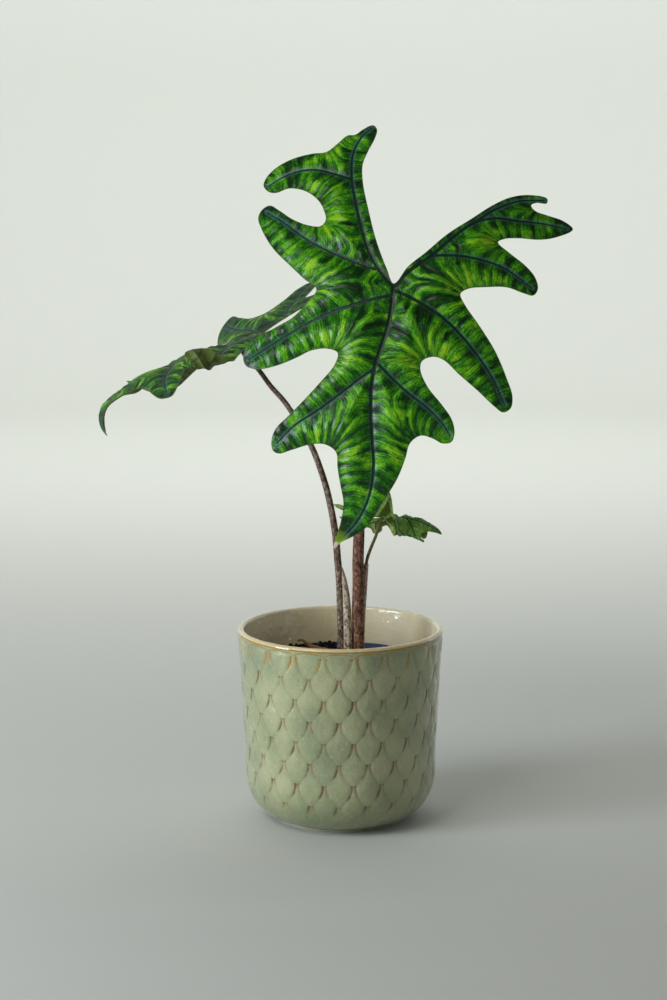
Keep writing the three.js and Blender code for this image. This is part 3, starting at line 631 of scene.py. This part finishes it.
def framesAlong(line):
    ahead = np.gradient(line, axis=0)
    ahead /= np.linalg.norm(ahead, axis=1)[:, None]
    normals = [np.cross(ahead[0], (0, 1, 0))]
    for t in ahead[1:]:
        turned = normals[-1] - t * np.dot(normals[-1], t)
        normals.append(turned / np.linalg.norm(turned))
    normals = np.array(normals)
    return normals, np.cross(ahead, normals)


# a tube along a path, whose radius depends on the share of the way up
def makeTube(name, node, material, radiusAt, path, sides=28, step=0.9):
    line = curveThrough(path, step)
    steps = len(line) - 1
    bm = bmesh.new()
    bmesh.ops.create_cone(bm, cap_ends=True, segments=sides, radius1=1, radius2=1, depth=1)
    tall = [e for e in bm.edges if abs(e.verts[0].co.z - e.verts[1].co.z) > 0.5]
    bmesh.ops.subdivide_edges(bm, edges=tall, cuts=steps - 1, use_grid_fill=True)
    start = allPlaces(bm)
    along = start[:, 2] + 0.5
    ring = np.rint(along * steps).astype(int)
    turn = np.arctan2(start[:, 1], start[:, 0])
    length = step * steps
    ridges = stalk["ridge"] * np.sin(turn * stalk["ridges"] + along * stalk["ridgeTwist"])
    swell = stalk["swell"] * np.sin(along * length / stalk["swellSize"] + turn)
    radius = radiusAt(along) * (1 + ridges + swell)
    normals, binormals = framesAlong(line)
    straight = np.stack([radius * np.cos(turn), radius * np.sin(turn), along * length], axis=1)
    keepValues(bm, {"straight": straight, "rise": along})
    moveTo(bm, line[ring] + normals[ring] * straight[:, :1] + binormals[ring] * straight[:, 1:2])
    finishPiece(bm, name, material, node)


def stalkMaterial(name, fleckScale, tint, top, topShare, stops):
    material, shader, add = startMaterial(name, {"IOR": 1.4, "Specular IOR Level": 0.4})
    straight = add("Attribute", attribute_name="straight").outputs["Vector"]
    rise = add("Attribute", attribute_name="rise").outputs["Fac"]
    # flecks of 1 to 2 mm, a little taller than wide, on the straightened stalk
    placed = add("Mapping", {"Vector": straight, "Scale": (0.75, 0.75, 0.5)})
    fleck = add("TexNoise", {
        "Vector": placed, "Scale": fleckScale, "Detail": 3, "Roughness": 0.65, "Distortion": 0.6})
    tone = add("ValToRGB", (fleck,), stops=stops)
    blotch = add("TexNoise", {"Vector": placed, "Scale": 0.16, "Detail": 2})
    blotched = add("MapRange", (blotch, 0.4, 0.7, 0, 0.55))
    tinted = add("Mix", {0: blotched, 6: tone, 7: tint}, data_type="RGBA", blend_type="MULTIPLY")
    higher = add("MapRange", (rise, 0.35, 1, 0, topShare))
    color = add("Mix", {0: higher, 6: tinted, 7: top}, data_type="RGBA")
    finishMaterial(shader, add, color, fleck, (0.62, 0.42), fleck, 0.12, 0.8)
    return material


# snakeskin leaf stalks: brown skin broken by grey and purple-black flecks
brownStalk = stalkMaterial("mottled brown stalk", 0.9, "#a06a52", "#5f4032", 0.4, [
    (0.34, "#2a1713"), (0.46, "#6e4636"), (0.58, "#97705c"), (0.72, "#bda690")])
greyStalk = stalkMaterial("mottled grey stalk", 0.9, "#9a7868", "#5f4232", 0.55, [
    (0.34, "#2a1d1f"), (0.45, "#604b40"), (0.56, "#8c7a68"), (0.7, "#b8ab98")])
oliveStalk = stalkMaterial("olive stalk", 1.3, "#b39c7c", "#958a62", 0.7, [
    (0.34, "#564236"), (0.46, "#8b745a"), (0.6, "#ab977a"), (0.74, "#c6b898")])
# papery sheaths: cream and pinkish tan, with dark purple flecks
creamSheath = stalkMaterial("cream sheath", 0.8, "#d6c6b6", "#b39c86", 0.3, [
    (0.38, "#38242a"), (0.44, "#83705f"), (0.5, "#c8bba6"), (0.7, "#e2d9c6")])
tanSheath = stalkMaterial("pinkish tan sheath", 0.8, "#e6d0c2", "#cdb5a2", 0.35, [
    (0.37, "#4a3432"), (0.44, "#b3917f"), (0.54, "#e4cdbb"), (0.72, "#f6ebdd")])

makeTube("main_stalk", "main_stem", brownStalk, lambda t: 4.05 - 1.8 * t**2, [
    (12, 1, 70), (12, 1, 125), (12.3, 1, 188), (15, 4, 260), (23, 9, 315), (31, 11, 346),
    *stemTop(mainLeaf, 7)])
makeTube("left_stalk", "left_stem", greyStalk, lambda t: 2.95 - 1.4 * t, [
    (0.3, 2, 70), (0.3, 2, 140), (-1.3, 2.5, 172), (-4.8, 6, 204.3), (-11.1, 15, 230.3), (-20.1, 26, 252.7),
    (-36.8, 44.5, 278), (-48.7, 56, 290.5), (-57, 64, 300.5), *stemTop(leftLeaf, 5)])
makeTube("small_stalk", "small_stem", oliveStalk, lambda t: 1.4 - 0.4 * t, [
    (14.4, 7.4, 70), (14.4, 7.4, 118), (16.3, 6.3, 156), (17.4, 5.3, 173), (18.4, 6.5, 178),
    (20.7, 10, 184), (23.9, 15, 191), (27.3, 22, 198.5), *stemTop(smallLeaf, 1.5)], sides=20, step=0.7)
makeTube("left_sheath", None, creamSheath, lambda t: 3.05 * np.sqrt(1 - 0.9 * t**4), [
    (5.1, -0.3, 70), (5.1, -0.3, 125), (4.2, 0.2, 150), (2.8, 1.2, 161), (0.6, 2.3, 172)])
makeTube("small_sheath", None, tanSheath, lambda t: 2.3 - 0.6 * t, [
    (14.4, 7.4, 70), (14.4, 7.4, 118), (16.3, 6.3, 156), (17.5, 5.2, 174)])
print("leaves and stalks ready")

pot = {
    "height": 132, "rimRadius": 69.6, "rimRound": 2.2, "beltRadius": 64.6, "beltHeight": 32,
    "footRadius": 43, "footHeight": 3, "wall": 4.4,
    "footRing": 6, "recess": 1.6,  # the ring it stands on and the hollow inside it
    "lowRows": (3, 16, 18), "insideRows": (122, 18, 27), "evenFrom": 16.5,  # first and last height, number
    "corner": [(3, 12.5), (8, 9.4), (14, 8)],  # how far in from the wall, and how high
}
ogee = {
    "columns": 21, "turn": -0.0145, "row": 14.5, "firstNeck": 125.5, "spread": 2.1,
    "firstWide": 1.9, "neck": 1.1,  # half a neck's width, in the first row and below
    "swell": 0.42, "round": 5,  # how far a scale stands out, and how wide its round edge is
    "cut": 0.3, "cutWidth": 0.9, "cutEnd": (0.3, 0.8),  # cutEnd in shares of a row
    "lowEnd": (13, 26), "highEnd": (127.2, 125.2),  # the heights where the net fades away
    "lip": 126, "lipWave": 2.6,  # where the green begins in waves
    "waver": 0.25, "waverSize": 28, "strands": 24, "levels": 16,
}


def bodyRadius(z):
    rise = np.maximum(0, (z - pot["beltHeight"]) / (pot["height"] - pot["beltHeight"]))
    drop = np.clip((pot["beltHeight"] - z) / (pot["beltHeight"] - pot["footHeight"]), 0, 1)
    upper = pot["beltRadius"] + (pot["rimRadius"] - pot["beltRadius"]) * rise**1.3
    lower = pot["footRadius"] + (pot["beltRadius"] - pot["footRadius"]) * np.sqrt(1 - drop**2)
    return np.where(z >= pot["beltHeight"], upper, lower)


def potProfile():
    foot, ring = pot["footRadius"] - 1, pot["footRing"]
    rows = [(0, pot["recess"]), (foot - ring - 1.5, pot["recess"]), (foot - ring, 0), (foot - 0.6, 0),
            (foot, 0.5)]
    heights = [1.2, 2.1, *np.linspace(*pot["lowRows"])]
    step = ogee["row"] / ogee["levels"]
    z = ogee["firstNeck"] - step * round((ogee["firstNeck"] - pot["evenFrom"]) / step)
    while z < pot["height"] - pot["rimRound"] - 0.2:
        heights.append(z)
        z += step
    rows += [(float(bodyRadius(max(h, pot["footHeight"]))), h) for h in heights]
    middle = (pot["rimRadius"] - pot["rimRound"], pot["height"] - pot["rimRound"])
    for turn in range(0, 181, 15):
        a = math.radians(turn)
        rows.append((middle[0] + pot["rimRound"] * math.cos(a), middle[1] + pot["rimRound"] * math.sin(a)))
    rows += [(float(bodyRadius(h)) - pot["wall"], h) for h in np.linspace(*pot["insideRows"])]
    rows += [(rows[-1][0] - inward, h) for inward, h in pot["corner"]]
    return rows + [(0, rows[-1][1])]


def makePot(material):
    bm = turnProfile(potProfile(), ogee["columns"] * ogee["strands"])
    points = allPlaces(bm)
    x, y, z = points.T
    radius, angle = np.hypot(x, y), np.arctan2(y, x)
    pitch = 2 * math.pi / ogee["columns"]
    outer = radius > bodyRadius(np.maximum(z, pot["footHeight"])) - pot["wall"] / 2
    # the net's two lines start close together at a row's necks and swing apart to the next row's
    down = (ogee["firstNeck"] - z) / ogee["row"]
    row = np.floor(down + 1e-6)
    fall = np.maximum(0, down - row)
    neck = np.where(row < 1, ogee["firstWide"], ogee["neck"]) / pot["rimRadius"]
    below = ogee["neck"] / pot["rimRadius"]
    swing = neck + (pitch / 2 - neck - below) * fall ** ogee["spread"]
    half = np.where(row % 2 == 0, swing, pitch / 2 - swing)
    start = -math.pi / 2 + pitch / 2 + ogee["turn"]
    column, share = np.divmod((angle - start) / pitch, 1)
    inFirst = (share < 0.25) | (share > 0.75)
    centred = np.where(share > 0.5, share - 1, share)
    warped = np.where(inFirst, centred / 0.25 * half, half + (share - 0.25) / 0.5 * (pitch - 2 * half))
    warped = np.where(share > 0.75, warped + pitch, warped)
    fade = smoothStep(*ogee["lowEnd"], z) * outer
    lipped = smoothStep(*ogee["highEnd"], z)
    turned = start + (column + share) * pitch + (warped - share * pitch) * fade
    across = np.where(inFirst, np.abs(centred) / 0.25, np.abs(share - 0.5) / 0.25)
    cellHalf = np.where(inFirst, half, pitch / 2 - half) * radius
    # softly swollen scales, with a narrow cut on each side under a neck that runs out further down
    swell = ogee["swell"] * (1 - fadeAway(cellHalf, ogee["round"])) * (1 - across**2)
    seam = (1 - across) * cellHalf
    swell -= ogee["cut"] * fadeAway(seam, ogee["cutWidth"]) * (1 - smoothStep(*ogee["cutEnd"], fall))
    # thrown by hand: the wall wavers by a few tenths of a millimetre
    waver = ogee["waver"] * np.array([noise.noise(Vector(p)) for p in points / ogee["waverSize"]])
    out = radius + (swell * lipped + waver) * fade
    keepValues(bm, {"seam": seam, "fall": fall, "netShare": fade * lipped,
                    "lining": ~outer & (z > 5), "firstRow": (down < 1) & (down >= 0),
                    "wave": np.abs(z - ogee["lip"] - ogee["lipWave"] * np.sin(math.pi * share) ** 0.8),
                    "rightLine": (share < 0.5) ^ (row % 2 != 0)})
    moveTo(bm, np.stack([out * np.cos(turned), out * np.sin(turned), z], axis=1))
    finishPiece(bm, "glazed_pot_body", material, "glazed_pot", sharp=60)


# glazed stoneware: a deep clear gloss over sage celadon that breaks ochre and rust along the relief
def glazeMaterial():
    material, shader, add = startMaterial("celadon glaze", {
        "IOR": 1.5, "Coat Weight": 0.7, "Coat Roughness": 0.13, "Coat IOR": 1.5})
    seam, fall, share, lining, firstRow, rightLine, wave = (
        add("Attribute", attribute_name=key).outputs["Fac"]
        for key in ("seam", "fall", "netShare", "lining", "firstRow", "rightLine", "wave"))
    place = add("TexCoord").outputs["Object"]
    height = add("SeparateXYZ", (place,)).outputs["Z"]
    cloud = add("TexNoise", {"Vector": place, "Scale": 38, "Detail": 3})
    patchy = add("TexNoise", {"Vector": place, "Scale": 110, "Detail": 2})
    color = add("ValToRGB", (cloud,), stops=[(0.3, "#8b9572"), (0.5, "#a0a67e"), (0.7, "#b1b38b")])
    # it is darker towards the foot
    darkerLow = add("MapRange", (height, 5 * mm, 36 * mm, 0.7, 0))
    # it is thinner and paler on the scales than in the hollows between them, and the hollows also carry
    # painted shade
    hollow = add("MapRange", (seam, 0.2, 3.6, 0.12, 0))
    hollow = add("Math", (hollow, share), operation="MULTIPLY")
    # iron specks of half a millimetre and pale ones a little larger
    iron, chalk = (
        add("MapRange", (add("TexNoise", {"Vector": place, "Scale": scale, "Detail": 2, "Roughness": 0.7}),
                         0.58, 0.7, 0, most))
        for scale, most in ((900, 0.35), (420, 0.3)))
    # the glaze breaks along the net: ochre under the rim, lower down dark rust on the left line of a
    # neck, painted darker and longer there as shade, and a shorter, fainter pink on the right one
    shade = add("Mix", {0: rightLine, 6: "#6c5836", 7: "#b49870"}, data_type="RGBA")
    ochre = add("Mix", {0: rightLine, 6: "#b98410", 7: "#bd9040"}, data_type="RGBA")
    shade = add("Mix", {0: firstRow, 6: shade, 7: ochre}, data_type="RGBA")
    broken = add("MapRange", (seam, 0.45, 1.35, 1, 0))
    reach = add("MapRange", (rightLine, 0, 1, 0.74, 0.5))
    left = add("Math", (reach, fall), operation="SUBTRACT")
    upper = add("MapRange", (left, 0, 0.22, 0, 0.95))
    kept = add("MapRange", (patchy, 0.34, 0.56, 0.15))
    for part in (upper, kept, share):
        broken = add("Math", (broken, part), operation="MULTIPLY")
    # painted shade: a fine dark line in the valley itself, with a dark spot where two meet
    valleyShade = add("MapRange", (seam, 0.08, 0.5, 0.7, 0))
    lasting = add("MapRange", (fall, 0.25, 0.75, 1, 0.14))
    for part in (lasting, kept):
        valleyShade = add("Math", (valleyShade, part), operation="MULTIPLY")
    knotShade = add("MapRange", (fall, 0, 0.14, 0.7, 0))
    close = add("MapRange", (seam, 0.3, 1.1, 1, 0))
    knotShade = add("Math", (knotShade, close), operation="MULTIPLY")
    dark = add("Math", (valleyShade, knotShade), operation="MAXIMUM")
    dark = add("Math", (dark, share), operation="MULTIPLY")
    # the lip is bare of celadon: cream, with an ochre line where the green begins in waves
    waved = add("MapRange", (wave, 0.3, 0.8, 0.8, 0))
    above, lipLine, lip = (
        add("MapRange", (height, low * mm, high * mm))
        for low, high in ((125.5, 126), (129.1, 129.7), (130, 130.7)))
    waved = add("Math", (waved, above), operation="MULTIPLY")
    inside = add("Mix", {0: cloud, 6: "#e0cfa2", 7: "#f0e8cf"}, data_type="RGBA")
    # the foot is bare stoneware
    bare = add("MapRange", (height, 1.2 * mm, 1.9 * mm, 1, 0))
    # each colour lies over the ones before it
    for amount, over in ((darkerLow, "#6c7850"), (hollow, "#727c54"), (iron, "#5a633f"), (chalk, "#c6caae"),
                         (broken, shade), (dark, "#4f4c2c"), (waved, "#a07a2a"), (lipLine, "#a07a2c"),
                         (lip, "#e0cc98"), (lining, inside), (bare, "#c9bfa2")):
        color = add("Mix", {0: amount, 6: color, 7: over}, data_type="RGBA")
    skin = add("TexNoise", {"Vector": place, "Scale": 160, "Detail": 2})
    bump = finishMaterial(shader, add, color, bare, (0.2, 0.75), skin, 0.7, 1)
    fillInputs(shader, {"Coat Normal": bump})
    return material


makePot(glazeMaterial())

growPot = {
    "top": 108, "foot": 8.3, "topRadius": 56, "footRadius": 40, "wall": 0.9, "lip": 2.2, "lipHeight": 4,
    "drains": 6, "drainFrom": 24, "drainTo": 32, "drainShare": 0.4, "segments": 144,
}


def growRadius(z):
    share = (z - growPot["foot"]) / (growPot["top"] - growPot["foot"])
    return growPot["footRadius"] + (growPot["topRadius"] - growPot["footRadius"]) * share


def makeGrowPot(material):
    top, foot, wall, lip = growPot["top"], growPot["foot"], growPot["wall"], growPot["lip"]
    near, far = growPot["drainFrom"], growPot["drainTo"]
    under, rim = top - growPot["lipHeight"], growRadius(top)
    bm = turnProfile([
        (0, foot), (near, foot), (far, foot),
        (growRadius(foot) - 1, foot), (growRadius(foot + 1), foot + 1),
        (growRadius(under), under), (rim + lip - 0.3, under), (rim + lip, under + 0.4),
        (rim + lip, top - 0.9), (rim + lip - 0.3, top - 0.25), (rim + lip - 1, top),
        (rim - wall + 0.6, top), (rim - wall, top - 0.6),
        (growRadius(foot + wall) - wall, foot + wall),
        (far, foot + wall), (near, foot + wall), (0, foot + wall),
    ], growPot["segments"])
    # drain slots through the bottom
    each = 2 * math.pi / growPot["drains"]
    slots = []
    for face in bm.faces:
        middle = face.calc_center_median()
        if near < middle.xy.length < far and middle.z < foot + 2:
            if math.atan2(middle.y, middle.x) % each < each * growPot["drainShare"]:
                slots.append(face)
    bmesh.ops.delete(bm, geom=slots, context="FACES")
    bmesh.ops.bridge_loops(bm, edges=[e for e in bm.edges if e.is_boundary])
    shrink(bm)
    finishPiece(bm, "grow_pot_shell", material, "grow_pot", sharp=35)


# blow-moulded polypropylene, satin, with a faint haze of scuffs
def plasticMaterial():
    material, shader, add = startMaterial("dark blue polypropylene", {
        "IOR": 1.49, "Specular IOR Level": 0.5})
    place = add("TexCoord").outputs["Object"]
    haze = add("TexNoise", {"Vector": place, "Scale": 90, "Detail": 4})
    color = add("Mix", {0: haze, 6: "#1a2c4e", 7: "#2b4672"}, data_type="RGBA")
    grain = add("TexNoise", {"Vector": place, "Scale": 1400, "Detail": 1})
    finishMaterial(shader, add, color, haze, (0.32, 0.55), grain, 0.04, 0.6)
    return material


makeGrowPot(plasticMaterial())
print("pots ready")

soil = {
    "edge": 102, "crown": 108.5, "foot": 9.5, "gap": 0.3, "step": 1.1, "seed": 7,
    "lump": 1.3, "lumpPace": (0.31, 0.27), "smallLump": 0.5, "smallPace": (0.9, 0.7),
    "grain": 0.7, "grainSize": 2.6, "fineGrain": 0.6, "fineGrainSize": 1.2, "segments": 320,
    # painted shade in peat: dark peat heaped against the left back rim of the grow pot, with crumbs over
    # it, where that part of the rim lies in shade
    "shadowHeap": 4.6, "shadowHeapFrom": 0.8, "shadowCrumbs": 190, "shadowCrumbReach": (47, 57), "shadowTurn": (1.65, 3.0),
    "shadowCrumbSlope": 0.35,
    "stalks": [(12, 1, 4.9), (0.3, 2, 3.6), (4.95, 0.8, 3.8), (14.4, 7.4, 3)],  # place, radius kept clear
    "turn": 6.28, "tilt": 0.5, "rough": 0.35, "lift": 0.25,  # how the loose bits lie
}
dice = random.Random(soil["seed"])


def soilRadius(z):
    return growRadius(z) - growPot["wall"] - soil["gap"]


def soilTop(x, y):
    share = np.clip(np.hypot(x, y) / soilRadius(soil["edge"]), 0, 1)
    (a, b), (c, d) = soil["lumpPace"], soil["smallPace"]
    lump = soil["lump"] * np.sin(x * a + 1) * np.cos(y * b) + soil["smallLump"] * np.sin(x * c + y * d)
    begin, end = soil["shadowTurn"]
    turn = np.arctan2(y, x)
    # the dark peat heap on the left back rim stands in for the shade there
    shadowHeaped = smoothStep(soil["shadowHeapFrom"], 1, share)
    shadowHeaped *= smoothStep(begin - 0.15, begin + 0.1, turn) * smoothStep(end + 0.13, end - 0.1, turn)
    crown = soil["crown"] + (soil["edge"] - soil["crown"]) * share**2
    return crown + lump * (1 - share**6) + soil["shadowHeap"] * shadowHeaped


def makeSoil(material):
    brim = soilRadius(soil["edge"])
    ring = np.linspace(0, 2 * math.pi, soil["segments"], endpoint=False)
    bm, _ = cutSheet(np.stack([np.cos(ring), np.sin(ring)], axis=1) * brim, soil["step"])
    upper = thicken(bm)
    flat = allPlaces(bm)[:, :2]
    grain = ripple(flat, soil["grainSize"], 1) + soil["fineGrain"] * ripple(flat, soil["fineGrainSize"], 4)
    z = np.where(upper, soilTop(*flat.T) + soil["grain"] * grain, soil["foot"])
    share = np.where(upper, 1, soilRadius(soil["foot"]) / brim)
    moveTo(bm, np.column_stack([flat * share[:, None], z]))
    finishPiece(bm, "peat_bed", material, "soil", sharp=60)


# loose bits on the soil, clear of the stalks
def scatter(name, count, sizes, flatness, material, level, shadowCrumbs=0):
    bm = bmesh.new()
    brim = soilRadius(soil["edge"])
    placed = 0
    while placed < count + shadowCrumbs:
        size = dice.uniform(*sizes)
        reach, turn = (brim - size - 0.5) * math.sqrt(dice.random()), dice.uniform(0, 2 * math.pi)
        # the last crumbs lie over the left back rim, dark peat standing in for the shade there
        if placed >= count:
            reach, turn = dice.uniform(*soil["shadowCrumbReach"]), dice.uniform(*soil["shadowTurn"])
        x, y = reach * math.cos(turn), reach * math.sin(turn)
        if any(math.hypot(x - sx, y - sy) < r + size for sx, sy, r in soil["stalks"]):
            continue
        made = bmesh.ops.create_icosphere(bm, subdivisions=level, radius=1)
        spin = Matrix.Rotation(dice.uniform(0, soil["turn"]), 4,
                               (dice.random(), dice.random(), dice.random() + 0.1))
        shape = Matrix.Diagonal((size * dice.uniform(0.7, 1.2), size * dice.uniform(0.5, 0.9),
                                 size * dice.uniform(*flatness), 1))
        seed = dice.uniform(0, 50)
        for vert in made["verts"]:
            vert.co *= 1 + soil["rough"] * noise.noise(vert.co * 1.6 + Vector((seed, seed, 0)))
        inward = max(0, growPot["topRadius"] - reach)
        ground = soilTop(x, y) if placed < count else growPot["top"] - soil["shadowCrumbSlope"] * inward
        lift = float(ground) + size * soil["lift"]
        tilt = Matrix.Rotation(dice.uniform(-soil["tilt"], soil["tilt"]), 4, "X")
        tilt @= Matrix.Rotation(dice.uniform(0, soil["turn"]), 4, "Z")
        whole = Matrix.Translation((x, y, lift)) @ tilt @ shape @ spin
        bmesh.ops.transform(bm, matrix=whole, verts=made["verts"])
        placed += 1
    shrink(bm)
    finishPiece(bm, name, material)


def peatMaterial(name, stops, scale):
    material, shader, add = startMaterial(name, {"IOR": 1.4, "Specular IOR Level": 0.25})
    place = add("TexCoord").outputs["Object"]
    crumb = add("TexNoise", {"Vector": place, "Scale": scale, "Detail": 6, "Roughness": 0.7})
    color = add("ValToRGB", (crumb,), stops=stops)
    finishMaterial(shader, add, color, crumb, (0.95, 0.75), crumb, 0.6, 0.9)
    return material


# damp peat, nearly black, with fibres that catch a little light
peat = peatMaterial("damp peat", [(0.35, "#120b08"), (0.5, "#251811"), (0.66, "#412e20")], 420)
# bark chips, redder and drier than the peat
bark = peatMaterial("pine bark chips", [(0.35, "#2a190f"), (0.5, "#4d301b"), (0.66, "#765434")], 260)
makeSoil(peat)
scatter("peat_crumbs", 520, (0.6, 1.7), (0.5, 0.9), peat, 2, soil["shadowCrumbs"])
scatter("bark_chips", 60, (2, 4.2), (0.16, 0.3), bark, 3)

scrap = {"path": [(-9, 36, 107), (-15, 37, 107.4), (-21, 38.5, 109.2), (-27, 40, 112.4), (-30, 40, 112.2)],
         "thick": 0.35, "wrap": 2.3, "unrolled": 0.25, "flat": 0.75, "step": 0.35, "strands": 18,
         "least": 1.1, "swell": 1.3, "crease": 0.08, "creasePace": 23, "length": 22}


def makeScrap(material):
    line = curveThrough(scrap["path"], scrap["step"])
    steps = len(line) - 1
    bm = bmesh.new()
    bmesh.ops.create_grid(bm, x_segments=steps, y_segments=scrap["strands"], size=0.5)
    upper = thicken(bm)
    start = allPlaces(bm)
    along = start[:, 0] + 0.5
    ring = np.clip(np.rint(along * steps).astype(int), 0, steps)
    turn = start[:, 1] * 2 * scrap["wrap"] * (1 - scrap["unrolled"] * along)
    radius = scrap["least"] + scrap["swell"] * np.sin(math.pi * (0.2 + 0.7 * along))
    radius -= np.where(upper, 0, scrap["thick"])
    radius *= 1 + scrap["crease"] * np.sin(along * scrap["creasePace"] + turn * 2)
    ahead = np.gradient(line, axis=0)
    sideways = np.cross(ahead, (0.1, 0.2, 1.0))
    sideways /= np.linalg.norm(sideways, axis=1)[:, None]
    lift = np.cross(sideways, ahead)
    lift /= np.linalg.norm(lift, axis=1)[:, None]
    straight = np.stack([radius * np.cos(turn), radius * np.sin(turn), along * scrap["length"]], axis=1)
    keepValues(bm, {"straight": straight, "rise": along})
    moveTo(bm, line[ring] + lift[ring] * straight[:, :1] * scrap["flat"]
           + sideways[ring] * straight[:, 1:2])
    finishPiece(bm, "dry_scrap", material, "dry_sheath")


# dry leaf sheath, papery and brittle, darker at its curled end
makeScrap(stalkMaterial("dry papery sheath", 0.5, "#a87a4c", "#33201a", 0.75, [
    (0.3, "#5f3f24"), (0.48, "#96693a"), (0.7, "#c49c66")]))
print("soil ready")


# a round floor that sweeps up into a wall all round, so that every view has the same plain ground
stage = {"radius": 2300, "sweep": 600, "sweepStep": 6, "wall": 2200, "segments": 128}


def makeStage():
    card, _, _ = startMaterial("pale matt card", {
        "Base Color": "#d3d5d0", "Specular IOR Level": 0.2, "Roughness": 0.8})
    rows = [(0, 0), (300, 0), (1000, 0), (stage["radius"], 0)]
    for turn in range(stage["sweepStep"], 91, stage["sweepStep"]):
        a = math.radians(turn)
        rows.append((stage["radius"] + stage["sweep"] * math.sin(a), stage["sweep"] * (1 - math.cos(a))))
    rows.append((stage["radius"] + stage["sweep"], stage["wall"]))
    bm = turnProfile(rows, stage["segments"])
    shrink(bm)
    floor = makeObject(bm, "pale_floor", card)


makeStage()

lights = {
    # name: place, aim, width, height, watts, colour
    "left_window": ((-1240, -560, 380), (0, 0, 150), 480, 640, 14.5, "#eaf3ff"),
    "right_window": ((900, 520, 420), (0, 0, 200), 260, 900, 0.9, "#dfeaff"),
    "top_fill": ((-700, -900, 1150), (0, 0, 250), 700, 600, 5.5, "#fffdf6"),
    "wall_wash": ((0, 1250, 1700), (0, 2500, 400), 2600, 500, 42, "#fafcfa"),
}
for name, (place, aim, width, height, watts, color) in lights.items():
    data = bpy.data.lights.new(name, "AREA")
    data.shape, data.size, data.size_y = "RECTANGLE", width * mm, height * mm
    data.energy, data.color = watts, toLinear(color)[:3]
    lamp = addObject(name, data)
    lamp.location = Vector(place) * mm
    lamp.visible_camera = False
    lamp.rotation_euler = (Vector(aim) - Vector(place)).to_track_quat("-Z", "Y").to_euler()

world = bpy.data.worlds.new("soft daylight")
world.use_nodes = True
fillInputs(world.node_tree.nodes["Background"], {"Color": "#ece8dc", "Strength": 0.13})
bpy.context.scene.world = world
bpy.context.scene.view_settings.view_transform = "Standard"

# focal in pixels of a picture 1000 pixels high
view = {"place": (-4.7, -1440.7, 457.5), "pitch": 9.4, "focal": 2170, "picture": 1000, "sensor": 36}
cameraData = bpy.data.cameras.new("camera")
cameraData.sensor_width = view["sensor"]
cameraData.lens = view["focal"] / view["picture"] * view["sensor"]
camera = addObject("camera", cameraData)
camera.location = Vector(view["place"]) * mm
camera.rotation_euler = (math.radians(90 - view["pitch"]), 0, 0)
bpy.context.scene.camera = camera
print("stage, lights and camera ready")
